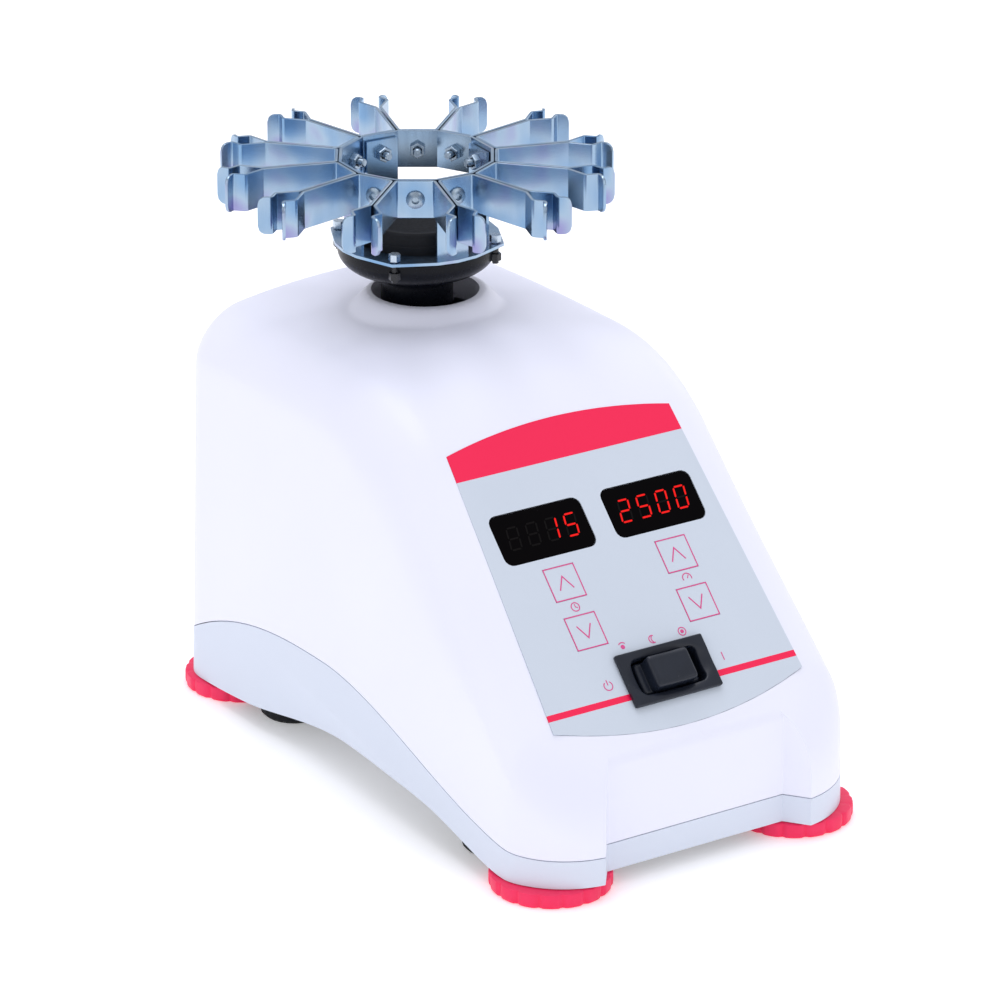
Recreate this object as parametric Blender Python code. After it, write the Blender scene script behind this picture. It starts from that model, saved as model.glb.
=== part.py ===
"""Benchtop vortex mixer with a clip carousel for small tubes.

A white casing on a grey skirt holds a vertical motor. An eccentric pin on the motor shaft carries a black head,
which circles without turning. A sheet metal carousel of twelve spring brackets is bolted on the head's rim.
The sloping front carries two displays, four keys and a rocker switch. Units are metres and +Z is up. The bench
is at Z = 0, the front faces -Y, and the origin is under the middle of the mixer.
"""
import math

import bmesh
import bpy
from mathutils import Matrix, Vector

for leftover in list(bpy.data.objects):
    bpy.data.objects.remove(leftover, do_unlink=True)

# ---------------------------------------------------------------- driving dimensions
GAP = 0.0003                    # clearance kept between two pieces that touch
WALL = 0.003                    # casing and skirt wall

# Casing form
BODY_HALF_WIDTH = 0.0594
BODY_DRAFT = 0.0028             # how far each side leans in at roof height
REAR_LEAN = 0.0019              # how far the rear face leans forwards at roof height
BODY_FRONT_Y = -0.107
BODY_REAR_Y = 0.1039
BODY_TOP_Z = 0.1305
ROOF_CROWN = 0.0073             # fall from the middle to the sides, on the roof and on the slope
SLOPE_CROWN = 0.0004
ROOF_FALL = 0.0023              # fall of the roof towards its rear edge
CORNER_RADIUS = 0.0275          # plan arc of the four corner posts
CORNER_INSET = 0.026            # centre of that arc, inwards from the side
REAR_ARC_INSET = 0.025          # centre of the rear arcs, forwards from the rear face
REAR_TOP_RADIUS = 0.015
SLOPE_ANGLE = math.radians(45)
SLOPE_FOOT_Z = 0.0395           # height of the sloping panel above the recess face
BEND_RADIUS = 0.062             # roof to slope
FRONT_LIP_RADIUS = 0.005
RECESS_DEPTH = 0.0073           # recess between the two front posts
RECESS_HALF_WIDTH = 0.0312
SHOULDER_ROOF = (0.0155, 0.0139)  # side edge rounding, across and down, along the roof
SHOULDER_SLOPE = (0.0156, 0.0280)
SHOULDER_FRONT = (0.0190, 0.0160)

# Seam between casing and skirt, and the skirt's arched lower edge
SEAM_CREST_Z = 0.0366
SEAM_CREST_Y = 0.012
SEAM_FRONT_Z = 0.0136
SEAM_REAR_Z = 0.0112
SKIRT_FLOOR_Z = 0.0049
ARCH_TOP_Z = 0.0128
ARCH_CREST_Y = -0.012
GRIP_CREASE_Z = 0.0200          # scooped grip above each arch: height of its crease under the crest
GRIP_CREASE_RISE = 0.176
GRIP_LEAN = 0.40
GRIP_SPAN = (-0.040, 0.004, 0.056)  # where the scoop starts, is deepest and has faded out

# Feet
FOOT_RADIUS = 0.0182
FOOT_HEIGHT = 0.0046
FOOT_NOTCHES = 16
FOOT_NOTCH_DEPTH = 0.0007
FOOT_INSET_X = 0.0162
FOOT_INSET_FRONT = 0.0188
FOOT_INSET_REAR = 0.0184
FOOT_STEM_RADIUS = 0.0065
PAD_RADIUS = 0.0106
PAD_INSET_X = 0.0171
PAD_FOOT_GAP = 0.0006

# Chassis
PLATE_BOTTOM_Z = 0.0132
PLATE_THICKNESS = 0.0025
PLATE_SIDE_GAP = 0.0035         # room for the scooped grip beside the plate
BALLAST_SIZE = (0.080, 0.060, 0.020)
BALLAST_Y = -0.028
POST_RADIUS = 0.0055
POST_BORE_RADIUS = 0.0023
POST_BORE_DEPTH = 0.014
SCREW_SHANK_RADIUS = 0.0018
SCREW_HEAD_RADIUS = 0.0036
SCREW_HEAD_HEIGHT = 0.0022
POST_CLEARANCE = 0.0045         # between a post and the skirt's wall
POST_Y = (-0.034, -0.0035)

# Motor, on four rubber isolators
AXIS_Y = 0.046                  # upright axis of the motor and of the casing's opening
MOTOR_RADIUS = 0.030
MOTOR_DROP = 0.1005             # its underside, below the roof
MOTOR_HEIGHT = 0.054
MOTOR_WALL = 0.002
BELL_THICKNESS = 0.004
STATOR_THICKNESS = 0.006
ROTOR_RADIUS = 0.0205
ROTOR_HEIGHT = 0.030
SHAFT_RADIUS = 0.003
BRACKET_THICKNESS = 0.003
BRACKET_SIZE = (0.086, 0.086)
ISOLATOR_SPREAD = (0.036, 0.035)
ISOLATOR_RADIUS = 0.005

# Eccentric drive
ORBIT_RADIUS = 0.00245
ORBIT_ANGLE = math.radians(146.75)
HUB_RADIUS = 0.012
HUB_HEIGHT = 0.012
PIN_RADIUS = 0.004
PIN_HEIGHT = 0.026
COUNTERWEIGHT_RADIUS = 0.020

# Head
OPENING_RADIUS = 0.0165
COLLAR_RADIUS = 0.024
COLLAR_RISE = 0.0037
NECK_RADIUS = 0.011
NECK_WALL = 0.0022
NECK_DROP = 0.0170              # the neck's lower end, below the roof
BOWL_START_RISE = 0.0100        # these rises are above the roof
BOWL_RADIUS = 0.0242
BOWL_RIM_RISE = 0.0195
BOWL_RIM_HEIGHT = 0.0022
CUP_RADIUS = 0.0178
CUP_TOP_RISE = 0.0270
CUP_DISH_DEPTH = 0.005
CUP_SEAT_DEPTH = 0.003

# Tube carousel
CLIPS = 12
CLIP_TURN = math.radians(-3.25)  # the ring's facets against the mixer's own axes
SHEET = 0.0009
RING_APOTHEM = 0.0233
RING_RISE = 0.0348              # the ring's lower edge, above the roof
RING_HEIGHT = 0.0116
CLIP_BEND_R = 0.0475            # where a straight arm ends
JAW_HOLLOW = (0.0538, 0.0040)   # distance from the axis, and from the line between two brackets
JAW_THROAT = (0.0573, 0.0021)
JAW_TIP = (0.0599, 0.0052)
ARM_OFFSET = 0.00025
DECK_RADIUS = 0.0255
LUG_RADIUS = 0.0273
LUG_FACET = -0.5                # first lug, in facets from the carousel's front one
LEG_FACETS = (1, 4, 7, 10)
CLIP_HOLE_RADIUS = 0.0017
DECK_SCREW_R = 0.0246
DECK_SCREW_RADIUS = 0.0010
DECK_NUT_RADIUS = 0.0018
DECK_HEAD_HEIGHT = 0.0022

# Control panel: s runs down the slope from its datum, n runs out of it
PANEL_TOP_S = -0.0087
PANEL_TOP_HALF = 0.0395
PANEL_BOTTOM_S = 0.0813
PANEL_BOTTOM_HALF = 0.0440
PANEL_TOP_RISE = 0.0046
PANEL_BOTTOM_DROP = 0.0075
PANEL_THICKNESS = 0.0007
DATUM_Y = -0.03335              # where s is zero on the slope
WINDOW_SIZE = (0.0315, 0.0158)
WINDOW_X = 0.0196
WINDOW_S = 0.0208
KEY_SIZE = 0.0103
KEY_X = 0.01985
KEY_S = (0.0377, 0.0537)
KEY_TRAVEL = 0.0005
BOARD_DEPTH = 0.0080
BOARD_THICKNESS = 0.0016
BOARD_HALF_WIDTH = 0.037
BOARD_S = (0.010, 0.0600)
SWITCH_SIZE = (0.0306, 0.0168)
SWITCH_S = 0.0720
SWITCH_RAISE = 0.0014
SWITCH_DEPTH = 0.0135
SWITCH_BODY = (0.0275, 0.0138)
SWITCH_WELL = (0.0225, 0.0112)
ROCKER_SIZE = (0.0195, 0.0104)
ROCKER_CROWN = 0.0034
ROCKER_PIVOT_DEPTH = 0.0032
ROCKER_PIN_RADIUS = 0.0009
ROCKER_PIN_LENGTH = 0.0009

# Power inlet
INLET_X = 0.0
INLET_Z = 0.040
INLET_FLANGE = (0.031, 0.024)
INLET_FLANGE_THICKNESS = 0.0018
INLET_BODY = (0.0272, 0.0196)
INLET_SOCKET = (0.0232, 0.0156)
INLET_DEPTH = 0.017
INLET_SOCKET_DEPTH = 0.0145

# ---------------------------------------------------------------- values that follow
SLOPE_RISE = math.tan(SLOPE_ANGLE)
RECESS_Y = BODY_FRONT_Y + RECESS_DEPTH
CORNER_X = BODY_HALF_WIDTH - CORNER_INSET
POST_X = BODY_HALF_WIDTH - WALL - POST_CLEARANCE - POST_RADIUS
PLATE_TOP_Z = PLATE_BOTTOM_Z + PLATE_THICKNESS
MOTOR_BOTTOM_Z = BODY_TOP_Z - MOTOR_DROP
MOTOR_TOP_Z = MOTOR_BOTTOM_Z + MOTOR_HEIGHT
BELL_TOP_Z = MOTOR_TOP_Z + GAP + BELL_THICKNESS
BRACKET_BOTTOM_Z = BELL_TOP_Z + GAP
BRACKET_TOP_Z = BRACKET_BOTTOM_Z + BRACKET_THICKNESS
HUB_BOTTOM_Z = BRACKET_TOP_Z + 0.003
HUB_TOP_Z = HUB_BOTTOM_Z + HUB_HEIGHT
PIN_TOP_Z = HUB_TOP_Z + PIN_HEIGHT
AXIS = Vector((0.0, AXIS_Y, 0.0))
PIN_AXIS = AXIS + ORBIT_RADIUS * Vector((math.cos(ORBIT_ANGLE), math.sin(ORBIT_ANGLE), 0.0))
NECK_BOTTOM_Z = BODY_TOP_Z - NECK_DROP
BOWL_START_Z = BODY_TOP_Z + BOWL_START_RISE
BOWL_RIM_Z = BODY_TOP_Z + BOWL_RIM_RISE
CUP_TOP_Z = BODY_TOP_Z + CUP_TOP_RISE
RING_BOTTOM_Z = BODY_TOP_Z + RING_RISE
DECK_BOTTOM_Z = BOWL_RIM_Z + GAP
DECK_TOP_Z = DECK_BOTTOM_Z + SHEET
RING_TOP_Z = RING_BOTTOM_Z + RING_HEIGHT
RING_MIDDLE_Z = RING_BOTTOM_Z + RING_HEIGHT / 2
FACET = 2 * math.pi / CLIPS
SLOPE_DOWN = Vector((0.0, -math.cos(SLOPE_ANGLE), -math.sin(SLOPE_ANGLE)))
SLOPE_OUT = Vector((0.0, -math.sin(SLOPE_ANGLE), math.cos(SLOPE_ANGLE)))


def slope_line(y):
    """Height of the sloping panel's plane at y."""
    return SLOPE_FOOT_Z + (y - RECESS_Y) * SLOPE_RISE


SLOPE_DATUM = Vector((0.0, DATUM_Y, slope_line(DATUM_Y)))
FEET = {
    "front_left": (-(BODY_HALF_WIDTH - FOOT_INSET_X), BODY_FRONT_Y + FOOT_INSET_FRONT),
    "front_right": (BODY_HALF_WIDTH - FOOT_INSET_X, BODY_FRONT_Y + FOOT_INSET_FRONT),
    "rear_left": (-(BODY_HALF_WIDTH - FOOT_INSET_X), BODY_REAR_Y - FOOT_INSET_REAR),
    "rear_right": (BODY_HALF_WIDTH - FOOT_INSET_X, BODY_REAR_Y - FOOT_INSET_REAR),
}


# ---------------------------------------------------------------- materials
def material(name, colour, roughness, metallic=0.0):
    """A Principled material from an sRGB colour."""
    made = bpy.data.materials.new(name)
    made.use_nodes = True
    linear = [((c + 0.055) / 1.055) ** 2.4 if c > 0.04045 else c / 12.92 for c in colour]
    shader = made.node_tree.nodes["Principled BSDF"]
    shader.inputs["Base Color"].default_value = (*linear, 1.0)
    shader.inputs["Roughness"].default_value = roughness
    shader.inputs["Metallic"].default_value = metallic
    made.diffuse_color = (*linear, 1.0)
    return made


WHITE_PLASTIC = material("white_plastic", (0.93, 0.93, 0.97), 0.42)
GREY_PLASTIC = material("grey_plastic", (0.86, 0.89, 0.93), 0.45)
RED_RUBBER = material("red_rubber", (0.95, 0.20, 0.36), 0.50)
BLACK_RUBBER = material("black_rubber", (0.07, 0.07, 0.08), 0.75)
BLACK_PLASTIC = material("black_plastic", (0.06, 0.07, 0.09), 0.38)
PANEL_FILM = material("panel_film", (0.80, 0.83, 0.87), 0.35)
DISPLAY_GLASS = material("display_glass", (0.03, 0.02, 0.02), 0.12)
ZINC_SHEET = material("zinc_sheet", (0.62, 0.70, 0.80), 0.28, 1.0)
STEEL = material("steel", (0.62, 0.62, 0.64), 0.35, 1.0)
CAST_IRON = material("cast_iron", (0.20, 0.20, 0.22), 0.60, 1.0)
COPPER = material("copper", (0.72, 0.42, 0.25), 0.40, 1.0)
CIRCUIT_BOARD = material("circuit_board", (0.05, 0.30, 0.16), 0.50)


# ---------------------------------------------------------------- modelling helpers
def empty(name, place):
    """An empty that marks a joint's axis and carries the pieces that move on it."""
    made = bpy.data.objects.new(name, None)
    made.location = place
    bpy.context.collection.objects.link(made)
    bpy.context.view_layer.update()
    return made


def finish(name, bm, skin, parent=None, flat_angle=35, place=None):
    """Turn a bmesh into an object with one material, shaded smooth below flat_angle."""
    bmesh.ops.recalc_face_normals(bm, faces=bm.faces)
    mesh = bpy.data.meshes.new(name)
    bm.to_mesh(mesh)
    bm.free()
    mesh.materials.append(skin)
    mesh.shade_smooth()
    mesh.set_sharp_from_angle(angle=math.radians(flat_angle))
    made = bpy.data.objects.new(name, mesh)
    bpy.context.collection.objects.link(made)
    if place is not None:
        made.matrix_world = place
    if parent is not None:
        world = made.matrix_world.copy()
        made.parent = parent
        made.matrix_parent_inverse = parent.matrix_world.inverted()
        made.matrix_world = world
    return made


def tool(name, bm, place=None):
    """A hidden solid that only shapes another one."""
    made = finish(name, bm, WHITE_PLASTIC, place=place)
    made.hide_render = True
    made.display_type = "WIRE"
    return made


def gathered(pieces):
    """One bmesh of several separate solids, each given as a bmesh and its place."""
    bm = bmesh.new()
    for piece, place in pieces:
        piece.transform(place)
        scratch = bpy.data.meshes.new("scratch")
        piece.to_mesh(scratch)
        piece.free()
        bm.from_mesh(scratch)
        bpy.data.meshes.remove(scratch)
    return bm


def boolean(target, other, operation="DIFFERENCE"):
    """Add an exact Boolean modifier."""
    step = target.modifiers.new(other.name, "BOOLEAN")
    step.operation = operation
    step.solver = "EXACT"
    step.object = other


def prism(outline, low, high):
    """A closed straight prism on an outline in X and Y, from low to high along Z."""
    bm = bmesh.new()
    base = bm.faces.new([bm.verts.new((x, y, low)) for x, y in outline])
    walls = bmesh.ops.extrude_face_region(bm, geom=[base])
    top = [item for item in walls["geom"] if isinstance(item, bmesh.types.BMVert)]
    bmesh.ops.translate(bm, verts=top, vec=(0.0, 0.0, high - low))
    return bm


def box(size, centre):
    """A block of a size in X, Y and Z about its centre."""
    bm = bmesh.new()
    bmesh.ops.create_cube(bm, size=1.0)
    bmesh.ops.scale(bm, vec=size, verts=bm.verts)
    bmesh.ops.translate(bm, vec=centre, verts=bm.verts)
    return bm


def circle(radius, count, centre=(0.0, 0.0), turn=0.0):
    """Points around a circle."""
    step = 2 * math.pi / count
    return [(centre[0] + radius * math.cos(turn + step * k), centre[1] + radius * math.sin(turn + step * k))
            for k in range(count)]


def rounded_rectangle(width, depth, radius, centre=(0.0, 0.0), steps=4):
    """Outline of a rectangle with round corners."""
    points = []
    for quarter, (sx, sy) in enumerate(((1, 1), (-1, 1), (-1, -1), (1, -1))):
        cx = centre[0] + sx * (width / 2 - radius)
        cy = centre[1] + sy * (depth / 2 - radius)
        for k in range(steps + 1):
            angle = math.pi / 2 * (quarter + k / steps)
            points.append((cx + radius * math.cos(angle), cy + radius * math.sin(angle)))
    return points


def turned(profile, count, turn=0.0):
    """Revolve a closed profile of (radius, height) points about Z; points at radius 0 meet in a pole."""
    bm = bmesh.new()
    rings = []
    for radius, height in profile:
        if radius == 0:
            rings.append([bm.verts.new((0.0, 0.0, height))])
        else:
            rings.append([bm.verts.new((x, y, height)) for x, y in circle(radius, count, turn=turn)])
    pairs = list(zip(rings, rings[1:]))
    if profile[0][0] > 0:
        pairs.append((rings[-1], rings[0]))
    for lower, upper in pairs:
        for k in range(count):
            after = (k + 1) % count
            corners = [lower[k % len(lower)], lower[after % len(lower)],
                       upper[after % len(upper)], upper[k % len(upper)]]
            distinct = list(dict.fromkeys(corners))
            if len(distinct) > 2:
                bm.faces.new(distinct)
    return bm


def loft(sections):
    """Skin equal point rings into a closed solid with flat ends."""
    bm = bmesh.new()
    rings = [[bm.verts.new(point) for point in section] for section in sections]
    for first, second in zip(rings, rings[1:]):
        for k in range(len(first)):
            after = (k + 1) % len(first)
            bm.faces.new((first[k], first[after], second[after], second[k]))
    bmesh.ops.triangulate(bm, faces=bm.faces)
    bm.faces.new(rings[0])
    bm.faces.new(rings[-1])
    return bm


def on_slope(s=0.0, n=0.0, x=0.0):
    """Frame on the sloping panel: X across it, Y up it and Z out of it."""
    spot = SLOPE_DATUM + SLOPE_DOWN * s + SLOPE_OUT * n + Vector((x, 0.0, 0.0))
    turn = Matrix((Vector((1, 0, 0)), -SLOPE_DOWN, SLOPE_OUT)).transposed().to_4x4()
    return Matrix.Translation(spot) @ turn


def about_pin(angle=0.0):
    """Frame on the head's own axis, turned about Z."""
    return Matrix.Translation(PIN_AXIS) @ Matrix.Rotation(angle, 4, "Z")


def facet_angle(index):
    """World direction that carousel facet number index faces; facet 0 is the front one."""
    return CLIP_TURN - math.radians(120) + FACET * index


def smooth(edge_a, edge_b, value):
    """0 before edge_a, 1 after edge_b and an eased blend between them."""
    share = min(1.0, max(0.0, (value - edge_a) / (edge_b - edge_a)))
    return share * share * (3 - 2 * share)


# ---------------------------------------------------------------- casing form
def half_width(y, inset):
    """Half of the casing's width in plan at y, for a surface set in by inset."""
    front = BODY_FRONT_Y + CORNER_RADIUS
    rear = BODY_REAR_Y - REAR_ARC_INSET
    past = max(front - y, y - rear, 0.0)
    radius = CORNER_RADIUS - inset
    arc = CORNER_X + math.sqrt(max(0.0, radius * radius - past * past))
    return min(BODY_HALF_WIDTH - inset, arc)


def roof_height(y, inset):
    """Height of the roof, bend and slope at y on the centre line, for a surface set in by inset."""
    top = BODY_TOP_Z - inset
    drop = inset / math.cos(SLOPE_ANGLE)
    bend = BEND_RADIUS - inset
    meet = RECESS_Y + (top + drop - SLOPE_FOOT_Z) / SLOPE_RISE
    reach = bend * math.tan(SLOPE_ANGLE / 2)
    rear = BODY_REAR_Y - REAR_TOP_RADIUS
    fall = ROOF_FALL * (max(0.0, y - meet - reach) / (rear - meet - reach)) ** 2
    if y > rear:
        radius = REAR_TOP_RADIUS - inset
        return top - fall - radius + math.sqrt(max(0.0, radius * radius - (y - rear) ** 2))
    if y > meet + reach:
        return top - fall
    if y > meet - reach * math.cos(SLOPE_ANGLE):
        return top - bend + math.sqrt(bend * bend - (y - meet - reach) ** 2)
    lip = FRONT_LIP_RADIUS
    centre_y = BODY_FRONT_Y + inset + lip
    if inset == 0 and y < centre_y - lip * math.sin(SLOPE_ANGLE):
        centre_z = slope_line(centre_y) - lip / math.cos(SLOPE_ANGLE)
        return centre_z + math.sqrt(max(0.0, lip * lip - (y - centre_y) ** 2))
    return slope_line(y) - drop


def shoulder(y, inset):
    """Side edge rounding at y: how far it reaches across and down."""
    onto_slope = smooth(0.020, -0.030, y)
    onto_front = smooth(-0.030, -0.090, y)
    across = SHOULDER_ROOF[0] + (SHOULDER_SLOPE[0] - SHOULDER_ROOF[0]) * onto_slope
    across += (SHOULDER_FRONT[0] - SHOULDER_SLOPE[0]) * onto_front
    down = SHOULDER_ROOF[1] + (SHOULDER_SLOPE[1] - SHOULDER_ROOF[1]) * onto_slope
    down += (SHOULDER_FRONT[1] - SHOULDER_SLOPE[1]) * onto_front
    return across - inset, down - inset


def crown(y):
    """How far the upper surface falls from the middle to the sides at y."""
    return SLOPE_CROWN + (ROOF_CROWN - SLOPE_CROWN) * smooth(-0.030, 0.020, y)


def surface_height(x, y, inset):
    """Height of the casing's upper surface over a point near its side edge."""
    across, down = shoulder(y, inset)
    top = roof_height(y, inset)
    edge = half_width(y, inset) - BODY_DRAFT * (top - down) / BODY_TOP_Z
    lean_in = min(1.0, max(0.0, (x - edge + across) / across))
    return top - crown(y) * (x / edge) ** 2 - down * (1 - math.sqrt(1 - lean_in ** 2))


def grip_scoop(y, z):
    """How far the side wall is scooped inwards at y and z, to give fingers a grip above the arch."""
    start, deepest, end = GRIP_SPAN
    crease = GRIP_CREASE_Z + GRIP_CREASE_RISE * y
    share = min(smooth(start - 0.004, start + 0.006, y), smooth(end, deepest, y))
    return GRIP_LEAN * share * max(0.0, crease - z)


def casing_section(y, inset, foot, arc_steps):
    """Closed outline of the casing at y, from foot level up one side and down the other."""
    width = half_width(y, inset)
    top = roof_height(y, inset)
    across, down = shoulder(y, inset)
    crease = max(foot + 0.001, min(GRIP_CREASE_Z + GRIP_CREASE_RISE * y, top - down - 0.001))
    side = [(width - grip_scoop(y, foot), foot), (width - grip_scoop(y, crease), crease)]
    for k in range(arc_steps + 1):
        angle = math.pi / 2 * k / arc_steps
        side.append((width - across * (1 - math.cos(angle)), top - down * (1 - math.sin(angle))))
    flat = width - across
    side += [(flat * share, top) for share in (0.75, 0.5, 0.25)]
    shaped = []
    rear_share = min(1.0, max(0.0, (y - BODY_REAR_Y + 0.064) / 0.030))
    for x, z in side + [(0.0, top)]:
        fallen = z - (crown(y) * (x / width) ** 2 if z > crease else 0.0)
        leaned = x - BODY_DRAFT * fallen / BODY_TOP_Z if x > 0 else 0.0
        shaped.append((leaned, y - REAR_LEAN * rear_share * fallen / BODY_TOP_Z, fallen))
    return shaped + [(-x, y_here, z) for x, y_here, z in reversed(shaped[:-1])]


def casing_stations(inset):
    """Places along Y where the casing needs a section."""
    front = BODY_FRONT_Y + inset
    rear = BODY_REAR_Y - inset
    stations = [front, BODY_FRONT_Y + FRONT_LIP_RADIUS * 0.3, BODY_FRONT_Y + FRONT_LIP_RADIUS]
    crease = math.asin(CORNER_INSET / CORNER_RADIUS)
    arc_y = BODY_FRONT_Y + CORNER_RADIUS
    stations += [arc_y - CORNER_RADIUS * math.cos(crease * k / 6) for k in range(1, 7)]
    arc_y = BODY_REAR_Y - REAR_ARC_INSET
    stations += [arc_y + CORNER_RADIUS * math.cos(crease * k / 6) for k in range(1, 7)]
    roof_y = BODY_REAR_Y - REAR_TOP_RADIUS
    radius = REAR_TOP_RADIUS - inset
    stations += [roof_y + radius * math.sin(math.pi / 2 * k / 7) for k in range(7)]
    stations += [-0.075, -0.060, -0.045, -0.036, -0.028, -0.020, -0.012, -0.004, 0.004, 0.012, 0.020, 0.032]
    stations += [0.045, 0.058, 0.070]
    inside = sorted(y for y in stations if front + 0.0004 < y < rear - 0.0004)
    chosen = [front]
    for y in inside:
        if y - chosen[-1] > 0.0008:
            chosen.append(y)
    return chosen + [rear]


def casing_solid(name, inset, front_limit, foot, arc_steps, make):
    """The whole casing form as one closed solid, set in by inset."""
    stations = [y for y in casing_stations(inset) if y > front_limit + 0.0004]
    if front_limit > BODY_FRONT_Y + inset:
        stations.insert(0, front_limit)
    else:
        stations.insert(0, BODY_FRONT_Y + inset)
    sections = [casing_section(y, inset, foot, arc_steps) for y in stations]
    return make(name, loft(sections))


def seam_height(y):
    """Height of the seam between casing and skirt at y."""
    if y > SEAM_CREST_Y:
        share = (y - SEAM_CREST_Y) / (BODY_REAR_Y - SEAM_CREST_Y)
        return SEAM_CREST_Z - (SEAM_CREST_Z - SEAM_REAR_Z) * share ** 2.7
    share = (SEAM_CREST_Y - y) / (SEAM_CREST_Y - BODY_FRONT_Y)
    return SEAM_CREST_Z - (SEAM_CREST_Z - SEAM_FRONT_Z) * math.sin(math.pi / 2 * min(1.0, share * 1.05)) ** 1.75


def arch_height(y):
    """Height of the skirt's lower edge at y: low over the feet, arched between them."""
    rise = smooth(BODY_FRONT_Y + 0.018, ARCH_CREST_Y - 0.026, y)
    fall = smooth(BODY_REAR_Y - 0.014, ARCH_CREST_Y, y)
    return SKIRT_FLOOR_Z + (ARCH_TOP_Z - SKIRT_FLOOR_Z) * min(rise, fall)


def edge_cutter(name, height, shift, far):
    """A block across the body, bounded by a height curve along Y and a level far from it."""
    reach = 0.012
    count = 30
    span = BODY_REAR_Y - BODY_FRONT_Y + 2 * reach
    ys = [BODY_FRONT_Y - reach + span * k / count for k in range(count + 1)]
    outline = [(y, height(min(max(y, BODY_FRONT_Y), BODY_REAR_Y)) + shift) for y in ys]
    outline += [(ys[-1], far), (ys[0], far)]
    across = Matrix(((0, 0, 1, 0), (1, 0, 0, 0), (0, 1, 0, 0), (0, 0, 0, 1)))
    return tool(name, prism(outline, -BODY_HALF_WIDTH - reach, BODY_HALF_WIDTH + reach), place=across)


def recess_cutter(name):
    """The shallow bay between the two front posts, with its sides splayed by 45 degrees."""
    run = 0.015
    outline = [(-RECESS_HALF_WIDTH, RECESS_Y), (RECESS_HALF_WIDTH, RECESS_Y),
               (RECESS_HALF_WIDTH + run, RECESS_Y - run), (-RECESS_HALF_WIDTH - run, RECESS_Y - run)]
    return tool(name, prism(outline, -0.01, BODY_TOP_Z))


def panel_outline(grow=0.0):
    """Outline of the panel film on the slope as (x, up) points, with bowed upper and lower edges."""
    steps = 10
    points = []
    for k in range(steps + 1):
        share = 1 - 2 * k / steps
        half = PANEL_TOP_HALF + grow
        points.append((half * share, -PANEL_TOP_S + grow + PANEL_TOP_RISE * (1 - share * share)))
    for k in range(steps + 1):
        share = 2 * k / steps - 1
        half = PANEL_BOTTOM_HALF + grow
        points.append((half * share, -PANEL_BOTTOM_S - grow - PANEL_BOTTOM_DROP * (1 - share * share)))
    return points


# ---------------------------------------------------------------- casing and skirt
def housing_shell():
    """White upper casing: hollow, open below, with screw posts and cuts for all that it carries."""
    shell = casing_solid("housing_shell", 0.0, BODY_FRONT_Y, 0.001, 8,
                         lambda name, bm: finish(name, bm, WHITE_PLASTIC, flat_angle=40))
    collar_low = BODY_TOP_Z - WALL - 0.001
    collar_top = BODY_TOP_Z + COLLAR_RISE
    rise = [(COLLAR_RADIUS - (COLLAR_RADIUS - OPENING_RADIUS - 0.0012) * k / 5,
             BODY_TOP_Z - 0.0005 + (COLLAR_RISE + 0.0005) * smooth(0, 5, k)) for k in range(6)]
    collar = [(0.0, collar_low), (COLLAR_RADIUS, collar_low)] + rise + [(0.0, collar_top)]
    boolean(shell, tool("collar_form", turned(collar, 48), place=Matrix.Translation(AXIS)), "UNION")
    inner = casing_solid("housing_hollow", WALL, RECESS_Y + WALL, -0.005, 5, tool)
    boolean(shell, inner)
    boolean(shell, recess_cutter("housing_recess"))
    boolean(shell, edge_cutter("housing_seam", seam_height, GAP / 2, -0.02))
    mouth = turned([(0.0, BODY_TOP_Z - 0.02), (OPENING_RADIUS, BODY_TOP_Z - 0.02),
                    (OPENING_RADIUS, collar_top + 0.01), (0.0, collar_top + 0.01)], 48, turn=math.pi / 48)
    boolean(shell, tool("housing_mouth", mouth, place=Matrix.Translation(AXIS)))
    here = Matrix.Identity(4)
    posts = []
    bores = []
    for x, y in post_places():
        top = surface_height(abs(x) + POST_RADIUS, y - POST_RADIUS, 0.0) - WALL / 2
        posts.append((prism(circle(POST_RADIUS, 16, (x, y)), PLATE_TOP_Z + GAP, top), here))
        bore = prism(circle(POST_BORE_RADIUS, 16, (x, y)), PLATE_TOP_Z - 0.01, PLATE_TOP_Z + POST_BORE_DEPTH)
        bores.append((bore, here))
    boolean(shell, tool("posts", gathered(posts)), "UNION")
    boolean(shell, tool("post_bores", gathered(bores)))
    film_seat = prism(panel_outline(GAP), -PANEL_THICKNESS - GAP, 0.01)
    boolean(shell, tool("film_seat", film_seat, place=on_slope()))
    holes = [(slope_hole(SWITCH_BODY), on_slope(SWITCH_S))]
    for side in (-1, 1):
        holes.append((slope_hole(WINDOW_SIZE), on_slope(WINDOW_S, 0, side * WINDOW_X)))
        holes += [(slope_hole((KEY_SIZE, KEY_SIZE)), on_slope(s, 0, side * KEY_X)) for s in KEY_S]
    hole = box((INLET_BODY[0] + 2 * GAP, 4 * WALL, INLET_BODY[1] + 2 * GAP), (INLET_X, BODY_REAR_Y, INLET_Z))
    boolean(shell, tool("shell_holes", gathered(holes + [(hole, here)])))
    return shell


def slope_hole(size):
    """Cutter through film and casing for a rectangular piece, with clearance all round."""
    return box((size[0] + 2 * GAP, size[1] + 2 * GAP, 8 * WALL), (0, 0, 0))


def base_skirt():
    """Grey skirt under the seam, arched between the feet."""
    skirt = casing_solid("base_skirt", 0.0, BODY_FRONT_Y, 0.001, 4,
                         lambda name, bm: finish(name, bm, GREY_PLASTIC, flat_angle=40))
    hollow = casing_solid("skirt_hollow", WALL, RECESS_Y + WALL, -0.005, 4, tool)
    boolean(skirt, hollow)
    boolean(skirt, recess_cutter("skirt_recess"))
    boolean(skirt, edge_cutter("skirt_seam", seam_height, -GAP / 2, BODY_TOP_Z + 0.02))
    boolean(skirt, edge_cutter("skirt_arch", arch_height, 0.0, -0.02))
    return skirt


def post_places():
    """Plan positions of the four casing screws."""
    return [(sx * POST_X, y) for y in POST_Y for sx in (-1, 1)]


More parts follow.
